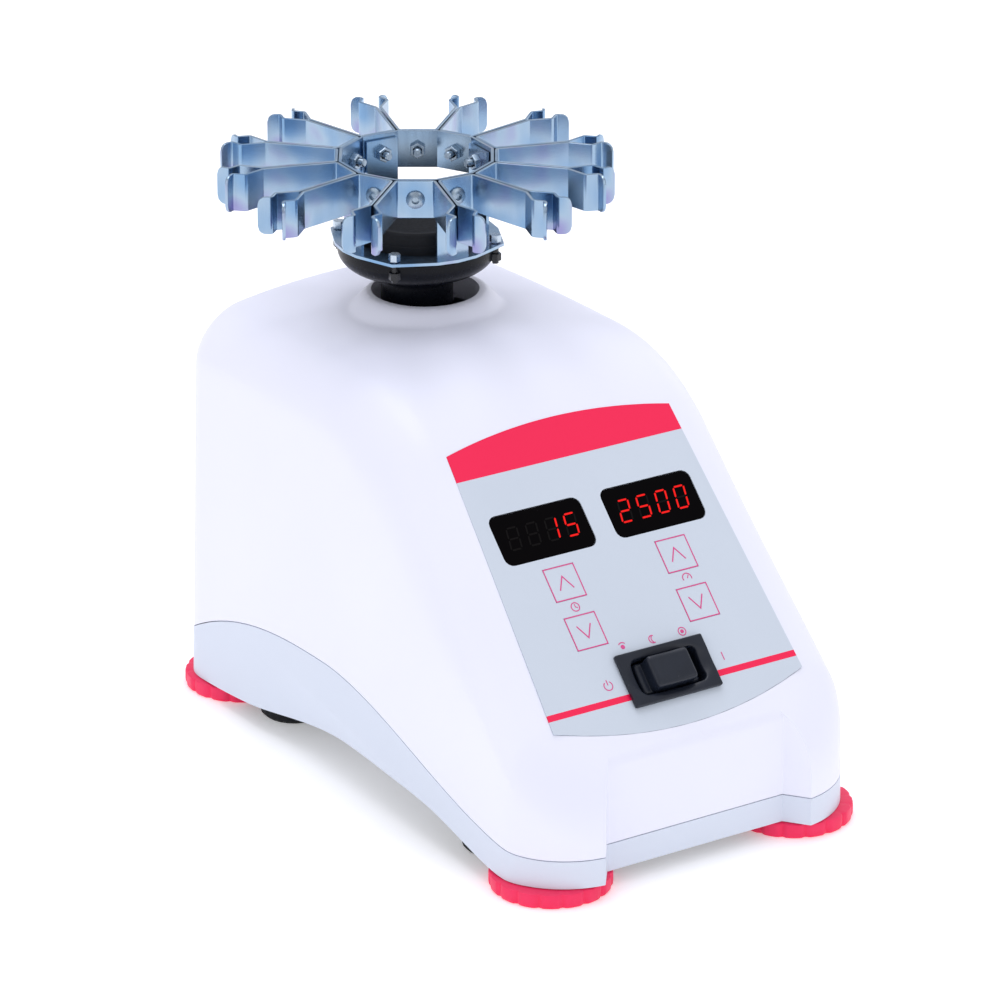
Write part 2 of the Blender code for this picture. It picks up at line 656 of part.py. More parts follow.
def plate_outline(clearance):
    """Plan outline of the space inside the skirt, kept clear of its wall."""
    inset = WALL + clearance + PLATE_SIDE_GAP
    ys = [y for y in casing_stations(inset) if y > RECESS_Y + inset + 0.001]
    ys = [RECESS_Y + inset] + ys
    right = [(half_width(y, inset), y) for y in ys]
    kept = [right[0]]
    for point in right[1:-1]:
        if abs(point[0] - kept[-1][0]) > 0.0004:
            kept.append(point)
    kept.append(right[-1])
    return kept + [(-x, y) for x, y in reversed(kept)]


def bottom_plate():
    """Sheet that closes the underside inside the skirt."""
    plate = finish("bottom_plate", prism(plate_outline(GAP), PLATE_BOTTOM_Z, PLATE_TOP_Z), STEEL)
    for number, place in enumerate(post_places()):
        hole = prism(circle(SCREW_SHANK_RADIUS + GAP, 12, place), PLATE_BOTTOM_Z - 0.002, PLATE_TOP_Z + 0.002)
        boolean(plate, tool(f"plate_hole_{number}", hole))


def casing_screws():
    """Screws that pull the bottom plate and the casing together."""
    head_top = PLATE_BOTTOM_Z - GAP
    tip = PLATE_TOP_Z + POST_BORE_DEPTH - 0.002
    names = ("front_left", "front_right", "rear_left", "rear_right")
    for name, (x, y) in zip(names, post_places()):
        profile = [(0.0, head_top - SCREW_HEAD_HEIGHT), (SCREW_HEAD_RADIUS * 0.8, head_top - SCREW_HEAD_HEIGHT),
                   (SCREW_HEAD_RADIUS, head_top - SCREW_HEAD_HEIGHT * 0.5), (SCREW_HEAD_RADIUS, head_top),
                   (SCREW_SHANK_RADIUS, head_top), (SCREW_SHANK_RADIUS, tip), (0.0, tip)]
        finish(f"casing_screw_{name}", turned(profile, 12), STEEL, place=Matrix.Translation((x, y, 0)))


def feet():
    """Four red notched feet and four black rubber pads, all standing on the bench."""
    for name, (x, y) in FEET.items():
        outline = []
        per_notch = 4
        for k in range(FOOT_NOTCHES * per_notch):
            angle = 2 * math.pi * k / (FOOT_NOTCHES * per_notch)
            radius = FOOT_RADIUS - (FOOT_NOTCH_DEPTH if k % per_notch == 0 else 0.0)
            outline.append((radius * math.cos(angle), radius * math.sin(angle)))
        place = Matrix.Translation((x, y, 0))
        foot = finish(f"foot_{name}", prism(outline, 0.0, FOOT_HEIGHT), RED_RUBBER, place=place, flat_angle=60)
        stem_low = FOOT_HEIGHT - 0.001
        stem = prism(circle(FOOT_STEM_RADIUS, 20), stem_low, PLATE_BOTTOM_Z - GAP)
        boolean(foot, tool(f"foot_stem_{name}", stem, place=place), "UNION")
        mouth = prism(circle(FOOT_STEM_RADIUS + GAP, 20, (x, y)), 0.0, SKIRT_FLOOR_Z + 0.004)
        boolean(bpy.data.objects["base_skirt"], tool(f"stem_room_{name}", mouth))
    apart = FOOT_RADIUS + PAD_RADIUS + PAD_FOOT_GAP
    pad_ys = (BODY_FRONT_Y + FOOT_INSET_FRONT + apart, BODY_REAR_Y - FOOT_INSET_REAR - apart)
    for y, end in zip(pad_ys, ("front", "rear")):
        for sx, side in ((-1, "left"), (1, "right")):
            top = PLATE_BOTTOM_Z - GAP
            profile = [(0.0, 0.0), (PAD_RADIUS - 0.0012, 0.0), (PAD_RADIUS, 0.0012), (PAD_RADIUS * 0.9, top), (0.0, top)]
            place = Matrix.Translation((sx * (BODY_HALF_WIDTH - PAD_INSET_X), y, 0))
            finish(f"rubber_pad_{end}_{side}", turned(profile, 24), BLACK_RUBBER, place=place)


def ballast():
    """Cast iron block that keeps the mixer from walking."""
    width, depth, height = BALLAST_SIZE
    block = box(BALLAST_SIZE, (0.0, BALLAST_Y, PLATE_TOP_Z + GAP + height / 2))
    upright = [edge for edge in block.edges if abs(edge.verts[0].co.z - edge.verts[1].co.z) > height / 2]
    bmesh.ops.bevel(block, geom=upright, offset=0.006, segments=2, affect="EDGES")
    finish("ballast_weight", block, CAST_IRON)


# ---------------------------------------------------------------- motor and drive
def motor_mount():
    """Four rubber isolators on the plate, and the steel bracket that the motor hangs from."""
    width, depth = BRACKET_SIZE
    outline = rounded_rectangle(width, depth, 0.008, (0.0, AXIS_Y), steps=3)
    bracket = finish("motor_bracket", prism(outline, BRACKET_BOTTOM_Z, BRACKET_TOP_Z), STEEL)
    hole = prism(circle(SHAFT_RADIUS + 0.003, 24, (0.0, AXIS_Y)), BRACKET_BOTTOM_Z - 0.005, BRACKET_TOP_Z + 0.005)
    boolean(bracket, tool("bracket_bore", hole))
    waist = ISOLATOR_RADIUS * 0.8
    low = PLATE_TOP_Z + GAP
    top = BRACKET_BOTTOM_Z - GAP
    middle = (low + top) / 2
    names = ("front_left", "front_right", "rear_left", "rear_right")
    spots = [(sx * ISOLATOR_SPREAD[0], AXIS_Y + sy * ISOLATOR_SPREAD[1]) for sy in (-1, 1) for sx in (-1, 1)]
    for name, (x, y) in zip(names, spots):
        profile = [(0.0, low), (ISOLATOR_RADIUS, low), (ISOLATOR_RADIUS, middle - 0.010), (waist, middle),
                   (ISOLATOR_RADIUS, middle + 0.010), (ISOLATOR_RADIUS, top), (0.0, top)]
        finish(f"isolator_{name}", turned(profile, 16), BLACK_RUBBER, place=Matrix.Translation((x, y, 0)))


def motor():
    """Motor can, end bell and stator; the rotor and shaft turn inside them."""
    at_axis = Matrix.Translation(AXIS)
    inner = MOTOR_RADIUS - MOTOR_WALL
    floor = MOTOR_BOTTOM_Z + MOTOR_WALL
    can = [(0.0, MOTOR_BOTTOM_Z), (MOTOR_RADIUS, MOTOR_BOTTOM_Z), (MOTOR_RADIUS, MOTOR_TOP_Z),
           (inner, MOTOR_TOP_Z), (inner, floor), (0.0, floor)]
    finish("motor_can", turned(can, 32), STEEL, place=at_axis)
    bore = SHAFT_RADIUS + GAP
    bell = [(bore, MOTOR_TOP_Z + GAP), (MOTOR_RADIUS, MOTOR_TOP_Z + GAP), (MOTOR_RADIUS, BELL_TOP_Z), (bore, BELL_TOP_Z)]
    finish("motor_end_bell", turned(bell, 32), STEEL, place=at_axis)
    stator_low = floor + 0.008
    stator_top = stator_low + ROTOR_HEIGHT + 0.004
    outer = inner - GAP
    stator = [(outer - STATOR_THICKNESS, stator_low), (outer, stator_low), (outer, stator_top),
              (outer - STATOR_THICKNESS, stator_top)]
    finish("stator", turned(stator, 32), COPPER, place=at_axis)
    rotor_low = stator_low + 0.002
    rotor = [(bore, rotor_low), (ROTOR_RADIUS, rotor_low), (ROTOR_RADIUS, rotor_low + ROTOR_HEIGHT),
             (bore, rotor_low + ROTOR_HEIGHT)]
    finish("rotor", turned(rotor, 32), STEEL, parent=DRIVE, place=at_axis)
    shaft_low = floor + GAP
    shaft_top = HUB_BOTTOM_Z + HUB_HEIGHT * 0.7
    shaft = [(0.0, shaft_low), (SHAFT_RADIUS, shaft_low), (SHAFT_RADIUS, shaft_top), (0.0, shaft_top)]
    finish("motor_shaft", turned(shaft, 20), STEEL, parent=DRIVE, place=at_axis)


def eccentric_hub():
    """Hub on the motor shaft with an offset pin on top and a counterweight opposite the pin."""
    at_axis = Matrix.Translation(AXIS)
    hub = finish("eccentric_hub", turned([(0.0, HUB_BOTTOM_Z), (HUB_RADIUS, HUB_BOTTOM_Z), (HUB_RADIUS, HUB_TOP_Z),
                                          (0.0, HUB_TOP_Z)], 32), STEEL, parent=DRIVE, place=at_axis)
    away = ORBIT_ANGLE + math.pi
    half = math.radians(70)
    inner = HUB_RADIUS * 0.5
    lobe = [(COUNTERWEIGHT_RADIUS * math.cos(away + half * (k / 6 - 1)),
             COUNTERWEIGHT_RADIUS * math.sin(away + half * (k / 6 - 1))) for k in range(13)]
    lobe += [(inner * math.cos(away + half), inner * math.sin(away + half)),
             (inner * math.cos(away - half), inner * math.sin(away - half))]
    weight = prism(lobe, HUB_BOTTOM_Z, HUB_BOTTOM_Z + HUB_HEIGHT * 0.55)
    boolean(hub, tool("counterweight_form", weight, place=at_axis), "UNION")
    pin = prism(circle(PIN_RADIUS, 24), HUB_TOP_Z - 0.003, PIN_TOP_Z)
    boolean(hub, tool("pin_form", pin, place=Matrix.Translation(PIN_AXIS)), "UNION")
    bore = prism(circle(SHAFT_RADIUS + GAP, 20), HUB_BOTTOM_Z - 0.004, HUB_BOTTOM_Z + HUB_HEIGHT * 0.7 + GAP)
    boolean(hub, tool("hub_bore", bore, place=at_axis))


def restraint_boot():
    """Rubber bellows from the bracket to the head's neck: it flexes, so the head cannot turn."""
    low = BRACKET_TOP_Z + GAP
    top = NECK_BOTTOM_Z - GAP
    wall = 0.0012
    waves = 3
    bottom_radius = COUNTERWEIGHT_RADIUS + 0.0022
    top_radius = NECK_RADIUS + 0.0005
    outer = []
    for k in range(2 * waves + 1):
        share = k / (2 * waves)
        swell = 0.0016 if k % 2 else 0.0
        radius = bottom_radius + (top_radius - bottom_radius) * max(0.0, share * 2 - 1) ** 1.5 + swell
        outer.append((radius, low + (top - low) * share))
    inner = [(radius - wall, height) for radius, height in outer]
    finish("restraint_boot", turned(outer + inner[::-1], 24), BLACK_RUBBER, place=Matrix.Translation(AXIS))


# ---------------------------------------------------------------- head
def head():
    """Neck and bowl, the bearing on the pin, and the rubber cup."""
    bore = NECK_RADIUS - NECK_WALL
    inner_top = PIN_TOP_Z + 0.0015
    bowl_depth = BOWL_RIM_Z - BOWL_RIM_HEIGHT - BOWL_START_Z
    curve = []
    for k in range(9):
        angle = math.pi / 2 * k / 8
        curve.append((NECK_RADIUS + 0.002 + (BOWL_RADIUS - NECK_RADIUS - 0.002) * math.sin(angle),
                      BOWL_START_Z + bowl_depth * (1 - math.cos(angle))))
    cup_seat = BOWL_RIM_Z - CUP_SEAT_DEPTH
    profile = [(0.0, inner_top), (bore, inner_top), (bore, NECK_BOTTOM_Z), (NECK_RADIUS, NECK_BOTTOM_Z),
               (NECK_RADIUS, BOWL_START_Z - 0.0015)] + curve
    profile += [(BOWL_RADIUS, BOWL_RIM_Z), (CUP_RADIUS + GAP, BOWL_RIM_Z), (CUP_RADIUS + GAP, cup_seat), (0.0, cup_seat)]
    bowl = finish("head_bowl", turned(profile, 40), BLACK_PLASTIC, parent=HEAD, place=about_pin(), flat_angle=50)
    for number in range(4):
        seat = prism(circle(DECK_NUT_RADIUS + 0.0008, 16, deck_screw_place(number)), BOWL_START_Z - 0.01,
                     BOWL_RIM_Z - BOWL_RIM_HEIGHT + GAP)
        boolean(bowl, tool(f"nut_seat_{number}", seat, place=about_pin()))
        notch = prism(circle(DECK_SCREW_RADIUS + GAP, 12, deck_screw_place(number)), BOWL_START_Z, BOWL_RIM_Z + 0.01)
        boolean(bowl, tool(f"screw_notch_{number}", notch, place=about_pin()))
    race = bore - GAP
    bearing_low = NECK_BOTTOM_Z + 0.001
    bearing_top = PIN_TOP_Z - 0.002
    bearing = [(PIN_RADIUS + GAP, bearing_low), (race, bearing_low), (race, bearing_top), (PIN_RADIUS + GAP, bearing_top)]
    finish("head_bearing", turned(bearing, 32), STEEL, parent=HEAD, place=about_pin())
    dish = [(CUP_RADIUS * 0.86 * (1 - k / 5), CUP_TOP_Z - CUP_DISH_DEPTH * math.sin(math.pi / 2 * k / 5)) for k in range(6)]
    cup = [(0.0, cup_seat + GAP), (CUP_RADIUS, cup_seat + GAP), (CUP_RADIUS, CUP_TOP_Z - 0.001),
           (CUP_RADIUS - 0.001, CUP_TOP_Z)] + dish
    finish("rubber_cup", turned(cup, 40), BLACK_RUBBER, parent=HEAD, place=about_pin(), flat_angle=50)


# ---------------------------------------------------------------- tube carousel
def deck_screw_place(number):
    """Plan position of one deck screw about the head's axis."""
    angle = facet_angle(LUG_FACET + 3 * number)
    return (DECK_SCREW_R * math.cos(angle), DECK_SCREW_R * math.sin(angle))


def carousel_deck():
    """Zinc-plated deck on the bowl's rim: four lugs for its screws and four legs up to the ring."""
    outline = []
    for k in range(2 * CLIPS):
        angle = facet_angle(k / 2)
        lug = any(abs((angle - math.atan2(*reversed(deck_screw_place(n))) + math.pi) % (2 * math.pi) - math.pi) < 0.02
                  for n in range(4))
        radius = LUG_RADIUS if lug else DECK_RADIUS
        outline.append((radius * math.cos(angle), radius * math.sin(angle)))
    deck = finish("carousel_deck", prism(outline, DECK_BOTTOM_Z, DECK_TOP_Z), ZINC_SHEET, parent=HEAD,
                  place=about_pin(), flat_angle=20)
    leg_outer = RING_APOTHEM - SHEET - GAP
    leg_width = 2 * leg_outer * math.tan(FACET / 2) - 0.0012
    for number in LEG_FACETS:
        leg_height = RING_TOP_Z - DECK_BOTTOM_Z - 0.0015
        leg = box((SHEET, leg_width, leg_height), (leg_outer - SHEET / 2, 0, DECK_BOTTOM_Z + leg_height / 2))
        boolean(deck, tool(f"leg_{number}", leg, place=about_pin(facet_angle(number))), "UNION")
    hole = prism(circle(CUP_RADIUS + 0.0008, 32), DECK_BOTTOM_Z - 0.005, DECK_TOP_Z + 0.005)
    boolean(deck, tool("deck_mouth", hole, place=about_pin()))
    for number in range(4):
        hole = prism(circle(DECK_SCREW_RADIUS + GAP, 12, deck_screw_place(number)), DECK_BOTTOM_Z - 0.005, DECK_TOP_Z + 0.005)
        boolean(deck, tool(f"deck_hole_{number}", hole, place=about_pin()))
    for number in LEG_FACETS:
        boolean(deck, tool(f"leg_hole_{number}", radial_hole(number), place=about_pin(facet_angle(number))))


def radial_hole(number):
    """Cutter for one clip screw's hole, along the facet's outward direction."""
    bm = prism(circle(CLIP_HOLE_RADIUS, 12), RING_APOTHEM - 0.006, RING_APOTHEM + 0.006)
    bmesh.ops.transform(bm, matrix=Matrix.Translation((0, 0, RING_MIDDLE_Z)) @ Matrix.Rotation(math.pi / 2, 4, "Y"),
                        verts=bm.verts)
    return bm


def deck_screws():
    """Hexagon screws with nuts that clamp the deck to the bowl's rim."""
    nut_top = BOWL_RIM_Z - BOWL_RIM_HEIGHT
    nut_low = nut_top - 0.0022
    head_low = DECK_TOP_Z + GAP
    head_top = head_low + DECK_HEAD_HEIGHT
    for number in range(4):
        x, y = deck_screw_place(number)
        profile = [(0.0, nut_low - 0.001), (DECK_SCREW_RADIUS, nut_low - 0.001), (DECK_SCREW_RADIUS, nut_low),
                   (DECK_NUT_RADIUS, nut_low), (DECK_NUT_RADIUS, nut_top), (DECK_SCREW_RADIUS, nut_top),
                   (DECK_SCREW_RADIUS, head_low), (DECK_NUT_RADIUS, head_low), (DECK_NUT_RADIUS, head_top), (0.0, head_top)]
        finish(f"deck_screw_{number + 1}", turned(profile, 6, turn=0.3), STEEL, parent=HEAD,
               place=about_pin() @ Matrix.Translation((x, y, 0)), flat_angle=20)


def carousel_ring():
    """Twelve-sided strip that carries the brackets."""
    reach = 1 / math.cos(FACET / 2)
    turn = facet_angle(0.5)
    outer = RING_APOTHEM * reach
    inner = (RING_APOTHEM - SHEET) * reach
    profile = [(inner, RING_BOTTOM_Z), (outer, RING_BOTTOM_Z), (outer, RING_TOP_Z), (inner, RING_TOP_Z)]
    ring = finish("carousel_ring", turned(profile, CLIPS, turn=turn), ZINC_SHEET, parent=HEAD,
                  place=about_pin(), flat_angle=20)
    for number in range(CLIPS):
        boolean(ring, tool(f"ring_hole_{number}", radial_hole(number), place=about_pin(facet_angle(number))))


def clip_half():
    """Bracket outline on one side of its facet, on the face towards the neighbouring bracket.

    Each point is a distance from the head's axis and a distance from the radial line between two brackets.
    """
    start = (RING_APOTHEM + GAP) / math.cos(FACET / 2)
    return [(start, ARM_OFFSET), (CLIP_BEND_R, ARM_OFFSET), JAW_HOLLOW, JAW_THROAT, JAW_TIP]


def offset_line(points, distance):
    """Copy of an open line moved sideways by distance, to its left, with mitred bends."""
    moved = []
    for k, point in enumerate(points):
        before = Vector(points[max(k - 1, 0)])
        after = Vector(points[min(k + 1, len(points) - 1)])
        here = Vector(point)
        into = (here - before).normalized() if k > 0 else (after - here).normalized()
        out = (after - here).normalized() if k < len(points) - 1 else into
        side_in = Vector((-into.y, into.x))
        side_out = Vector((-out.y, out.x))
        mitre = (side_in + side_out).normalized()
        moved.append(tuple(here + mitre * (distance / mitre.dot(side_in))))
    return moved


def clip_bracket(number):
    """One spring bracket: a base on its facet and two arms with curled jaws."""
    line = []
    for radius, offset in clip_half():
        along = Vector((math.cos(FACET / 2), -math.sin(FACET / 2)))
        inwards = Vector((math.sin(FACET / 2), math.cos(FACET / 2)))
        line.append(along * radius + inwards * offset)
    right = [tuple(point) for point in line]
    left = [(x, -y) for x, y in right]
    base_x = RING_APOTHEM + GAP
    corner = right[0][1] + (base_x - right[0][0]) * math.tan(-FACET / 2)
    path = left[::-1][:-1] + [(base_x, -corner), (base_x, corner)] + right[1:]
    outline = path + offset_line(path, SHEET)[::-1]
    bracket = finish(f"clip_bracket_{number + 1:02d}", prism(outline, RING_BOTTOM_Z, RING_TOP_Z), ZINC_SHEET,
                     parent=HEAD, place=about_pin(facet_angle(number)), flat_angle=20)
    boolean(bracket, tool(f"clip_hole_{number}", radial_hole(number), place=about_pin(facet_angle(number))))


# ---------------------------------------------------------------- control panel
def panel():
    """Film on the slope, the two display modules, the board and the four keys."""
    film = finish("panel_film", prism(panel_outline(), -PANEL_THICKNESS, 0.0), PANEL_FILM, place=on_slope())
    for side, name in ((-1, "left"), (1, "right")):
        place = on_slope(WINDOW_S, 0, side * WINDOW_X)
        hole = prism(rounded_rectangle(WINDOW_SIZE[0] + 2 * GAP, WINDOW_SIZE[1] + 2 * GAP, 0.0025 + GAP), -0.005, 0.005)
        boolean(film, tool(f"film_window_{name}", hole, place=place))
        module = prism(rounded_rectangle(*WINDOW_SIZE, 0.0025), -BOARD_DEPTH + GAP, 0.0)
        finish(f"display_{name}", module, DISPLAY_GLASS, place=place)
        for s, sense in zip(KEY_S, ("up", "down")):
            key_place = on_slope(s, 0, side * KEY_X)
            hole = box((KEY_SIZE + 2 * GAP, KEY_SIZE + 2 * GAP, 0.01), (0, 0, 0))
            boolean(film, tool(f"film_key_{name}_{sense}", hole, place=key_place))
            depth = BOARD_DEPTH - KEY_TRAVEL - GAP
            holder = empty(f"key_axis_{name}_{sense}", key_place.to_translation())
            finish(f"key_{name}_{sense}", box((KEY_SIZE, KEY_SIZE, depth), (0, 0, -depth / 2)), PANEL_FILM,
                   parent=holder, place=key_place)
    hole = box((SWITCH_BODY[0] + 2 * GAP, SWITCH_BODY[1] + 2 * GAP, 0.01), (0, 0, 0))
    boolean(film, tool("film_switch", hole, place=on_slope(SWITCH_S)))
    length = BOARD_S[1] - BOARD_S[0]
    board = box((2 * BOARD_HALF_WIDTH, length, BOARD_THICKNESS), (0, 0, -BOARD_DEPTH - BOARD_THICKNESS / 2))
    finish("control_board", board, CIRCUIT_BOARD, place=on_slope(sum(BOARD_S) / 2))


def power_switch():
    """Three-position rocker switch: a fixed body with a well, and the paddle on its pin."""
    place = on_slope(SWITCH_S)
    width, height = SWITCH_SIZE
    bezel = box((width, height, SWITCH_RAISE), (0, 0, GAP + SWITCH_RAISE / 2))
    top_edges = [edge for edge in bezel.edges if min(vert.co.z for vert in edge.verts) > GAP + SWITCH_RAISE / 2]
    bmesh.ops.bevel(bezel, geom=top_edges, offset=SWITCH_RAISE * 0.6, segments=1, affect="EDGES")
    body = finish("switch_body", bezel, BLACK_PLASTIC, place=place, flat_angle=20)
    block = box((*SWITCH_BODY, SWITCH_DEPTH), (0, 0, GAP + 0.0004 - SWITCH_DEPTH / 2))
    boolean(body, tool("switch_block", block, place=place), "UNION")
    well_depth = SWITCH_DEPTH - 0.003
    well = box((*SWITCH_WELL, well_depth + 0.01), (0, 0, SWITCH_RAISE + 0.01 - (well_depth + 0.01) / 2))
    boolean(body, tool("switch_well", well, place=place))
    along = Matrix.Rotation(math.pi / 2, 4, "X")
    pin_z = SWITCH_RAISE - ROCKER_PIVOT_DEPTH
    reach = SWITCH_WELL[1] / 2 + ROCKER_PIN_LENGTH
    socket = prism(circle(ROCKER_PIN_RADIUS + GAP, 16), -reach, reach)
    boolean(body, tool("rocker_socket", socket, place=place @ Matrix.Translation((0, 0, pin_z)) @ along))

    half = ROCKER_SIZE[0] / 2
    top = ROCKER_PIVOT_DEPTH + ROCKER_CROWN
    outline = [(-half, -0.0005), (-half * 0.94, 0.0018)]
    outline += [(-half * 0.74 * (1 - k / 4), top - 0.0014 * (1 - k / 4) ** 2) for k in range(9)]
    outline += [(half * 0.94, 0.0018), (half, -0.0005), (half * 0.45, -0.0035), (-half * 0.45, -0.0035)]
    paddle_place = place @ Matrix.Translation((0, 0, pin_z)) @ along
    paddle = finish("rocker", prism(outline, -ROCKER_SIZE[1] / 2, ROCKER_SIZE[1] / 2), BLACK_PLASTIC,
                    parent=ROCKER_AXIS, place=paddle_place, flat_angle=30)
    pin_reach = reach - GAP
    pin = prism(circle(ROCKER_PIN_RADIUS, 16), -pin_reach, pin_reach)
    boolean(paddle, tool("rocker_pin_form", pin, place=paddle_place), "UNION")


def power_inlet():
    """Mains inlet in the rear face, with an open socket."""
    flange_y = BODY_REAR_Y + GAP + INLET_FLANGE_THICKNESS / 2
    flange = box((INLET_FLANGE[0], INLET_FLANGE_THICKNESS, INLET_FLANGE[1]), (INLET_X, flange_y, INLET_Z))
    inlet = finish("power_inlet", flange, BLACK_PLASTIC, flat_angle=20)
    body_y = BODY_REAR_Y + GAP + 0.0005 - INLET_DEPTH / 2
    block = box((INLET_BODY[0], INLET_DEPTH, INLET_BODY[1]), (INLET_X, body_y, INLET_Z))
    boolean(inlet, tool("inlet_block", block), "UNION")
    outer_y = BODY_REAR_Y + GAP + INLET_FLANGE_THICKNESS
    socket = box((INLET_SOCKET[0], INLET_SOCKET_DEPTH + 0.01, INLET_SOCKET[1]),
                 (INLET_X, outer_y + 0.01 - (INLET_SOCKET_DEPTH + 0.01) / 2, INLET_Z))
    boolean(inlet, tool("inlet_socket", socket))


# ---------------------------------------------------------------- assembly
DRIVE = empty("drive_axis", AXIS)
HEAD = empty("head_axis", PIN_AXIS)
ROCKER_AXIS = empty("rocker_axis", on_slope(SWITCH_S, SWITCH_RAISE - ROCKER_PIVOT_DEPTH).to_translation())

housing_shell()
base_skirt()
bottom_plate()
casing_screws()
feet()
ballast()
motor_mount()
motor()
eccentric_hub()
restraint_boot()
head()
carousel_deck()
deck_screws()
carousel_ring()
for clip in range(CLIPS):
    clip_bracket(clip)
panel()
power_switch()
power_inlet()
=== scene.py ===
"""Looks of a benchtop vortex mixer with a carousel of twelve spring brackets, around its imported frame."""
import math

import bmesh
import bpy
import numpy as np
from mathutils import Matrix, Vector


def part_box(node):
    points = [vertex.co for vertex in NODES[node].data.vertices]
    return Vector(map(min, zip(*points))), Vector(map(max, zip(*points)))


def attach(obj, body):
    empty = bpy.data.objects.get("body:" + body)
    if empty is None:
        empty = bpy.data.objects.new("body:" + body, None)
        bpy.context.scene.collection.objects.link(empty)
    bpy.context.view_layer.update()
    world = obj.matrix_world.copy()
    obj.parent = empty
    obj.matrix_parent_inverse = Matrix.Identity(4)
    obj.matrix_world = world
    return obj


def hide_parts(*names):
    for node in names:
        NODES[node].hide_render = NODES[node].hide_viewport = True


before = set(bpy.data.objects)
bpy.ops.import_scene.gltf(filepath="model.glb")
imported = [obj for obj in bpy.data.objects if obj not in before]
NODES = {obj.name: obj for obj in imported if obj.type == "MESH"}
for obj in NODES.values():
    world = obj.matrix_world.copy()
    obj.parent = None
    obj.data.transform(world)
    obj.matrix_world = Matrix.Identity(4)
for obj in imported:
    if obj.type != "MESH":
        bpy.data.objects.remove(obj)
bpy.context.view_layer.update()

# ---------------------------------------------------------------- viewpoint and studio
# The mixer stands on a wide, flat pale bench top. A long lens looks down on its front left corner, and
# large soft boxes on the left, above and in front wash out nearly every shadow.
VIEW_BACK = Vector((-0.5078, -0.7745, 0.3772))
VIEW_RIGHT = Vector((0.8363, -0.5483, 0.0))
VIEW_UP = Vector((0.2068, 0.3154, 0.9261))
lens = bpy.data.cameras.new("bench_view")
lens.lens = 209.4
lens.sensor_width = 36.0
lens.clip_end = 20.0
camera = bpy.data.objects.new("bench_view", lens)
bpy.context.scene.collection.objects.link(camera)
turn = Matrix((VIEW_RIGHT, VIEW_UP, VIEW_BACK)).transposed().to_4x4()
camera.matrix_world = Matrix.Translation((-0.8914, -1.3550, 0.7409)) @ turn
bpy.context.scene.camera = camera
bpy.context.scene.view_settings.view_transform = "Standard"


def put(name, bm, smooth_below=35.0):
    """Make an object of a bmesh, shaded smooth except at edges sharper than smooth_below degrees."""
    mesh = bpy.data.meshes.new(name)
    bm.to_mesh(mesh)
    bm.free()
    mesh.shade_smooth()
    mesh.set_sharp_from_angle(angle=math.radians(smooth_below))
    made = bpy.data.objects.new(name, mesh)
    bpy.context.scene.collection.objects.link(made)
    return made


class Shade:
    """A shader value. Arithmetic on it adds Math nodes to its material."""

    def __init__(self, bench, socket):
        self.bench = bench
        self.socket = socket

    def _math(self, operation, *terms):
        return self.bench.node("ShaderNodeMath", {"operation": operation}, dict(enumerate(terms)))

    def __add__(self, other):
        return self._math("ADD", self, other)

    def __radd__(self, other):
        return self._math("ADD", other, self)

    def __sub__(self, other):
        return self._math("SUBTRACT", self, other)

    def __rsub__(self, other):
        return self._math("SUBTRACT", other, self)

    def __mul__(self, other):
        return self._math("MULTIPLY", self, other)

    def __rmul__(self, other):
        return self._math("MULTIPLY", other, self)

    def __gt__(self, other):
        return self._math("GREATER_THAN", self, other)

    def __lt__(self, other):
        return self._math("LESS_THAN", self, other)

    def clamped(self):
        """The value held between 0 and 1."""
        return self.bench.node("ShaderNodeClamp", {}, {"Value": self})


class Finish:
    """A procedural material: one Principled shader whose inputs are set by name."""

    def __init__(self, name, roughness, metallic=0.0, **fixed):
        self.made = bpy.data.materials.new(name)
        self.made.use_nodes = True
        self.tree = self.made.node_tree
        self.shader = self.tree.nodes["Principled BSDF"]
        self.set(Roughness=roughness, Metallic=metallic)
        for socket, value in fixed.items():
            self.shader.inputs[socket.replace("_", " ")].default_value = value

    def node(self, kind, settings, inputs, output=0):
        """Add one node, give it its settings, then the values or links of its sockets."""
        made = self.tree.nodes.new(kind)
        for key, value in settings.items():
            if key == "stops":
                ramp = made.color_ramp
                for stop, (place, colour) in enumerate(value):
                    handle = ramp.elements[stop] if stop < 2 else ramp.elements.new(place)
                    handle.position = place
                    handle.color = colour
            else:
                setattr(made, key, value)
        for key, value in inputs.items():
            if isinstance(value, Shade):
                self.tree.links.new(value.socket, made.inputs[key])
            else:
                made.inputs[key].default_value = value
        return Shade(self, made.outputs[output])

    def set(self, **inputs):
        """Feed the Principled shader's sockets with values or links."""
        for key, value in inputs.items():
            socket = self.shader.inputs[key.replace("_", " ")]
            if isinstance(value, Shade):
                self.tree.links.new(value.socket, socket)
            else:
                socket.default_value = value

    def place(self):
        """The object's own coordinates, in metres."""
        return self.node("ShaderNodeTexCoord", {}, {}, "Object")

    def noise(self, size, detail=2.0, rough=0.5, stretch=(1.0, 1.0, 1.0)):
        """Cloudy noise whose features are about size metres across."""
        scaled = self.node("ShaderNodeMapping", {}, {"Vector": self.place(), "Scale": stretch})
        return self.node("ShaderNodeTexNoise", {}, {"Vector": scaled, "Scale": 1 / size, "Detail": detail,
                                                    "Roughness": rough})

    def mix(self, share, first, second):
        """A colour between two colours or colour links."""
        return self.node("ShaderNodeMix", {"data_type": "RGBA"}, {0: share, 6: first, 7: second}, 2)

    def relief(self, height, distance, strength=1.0):
        """Bump the surface by height times distance."""
        bump = self.node("ShaderNodeBump", {},
                         {"Height": height, "Distance": distance, "Strength": strength})
        self.set(Normal=bump)

    def ramp(self, value, low, high):
        """Value stretched so that low becomes 0 and high becomes 1, held between them."""
        return ((value - low) * (1 / (high - low))).clamped()


def srgb(red, green, blue):
    """Linear colour of an sRGB one."""
    return (*[((c + 0.055) / 1.055) ** 2.4 if c > 0.04045 else c / 12.92 for c in (red, green, blue)], 1.0)


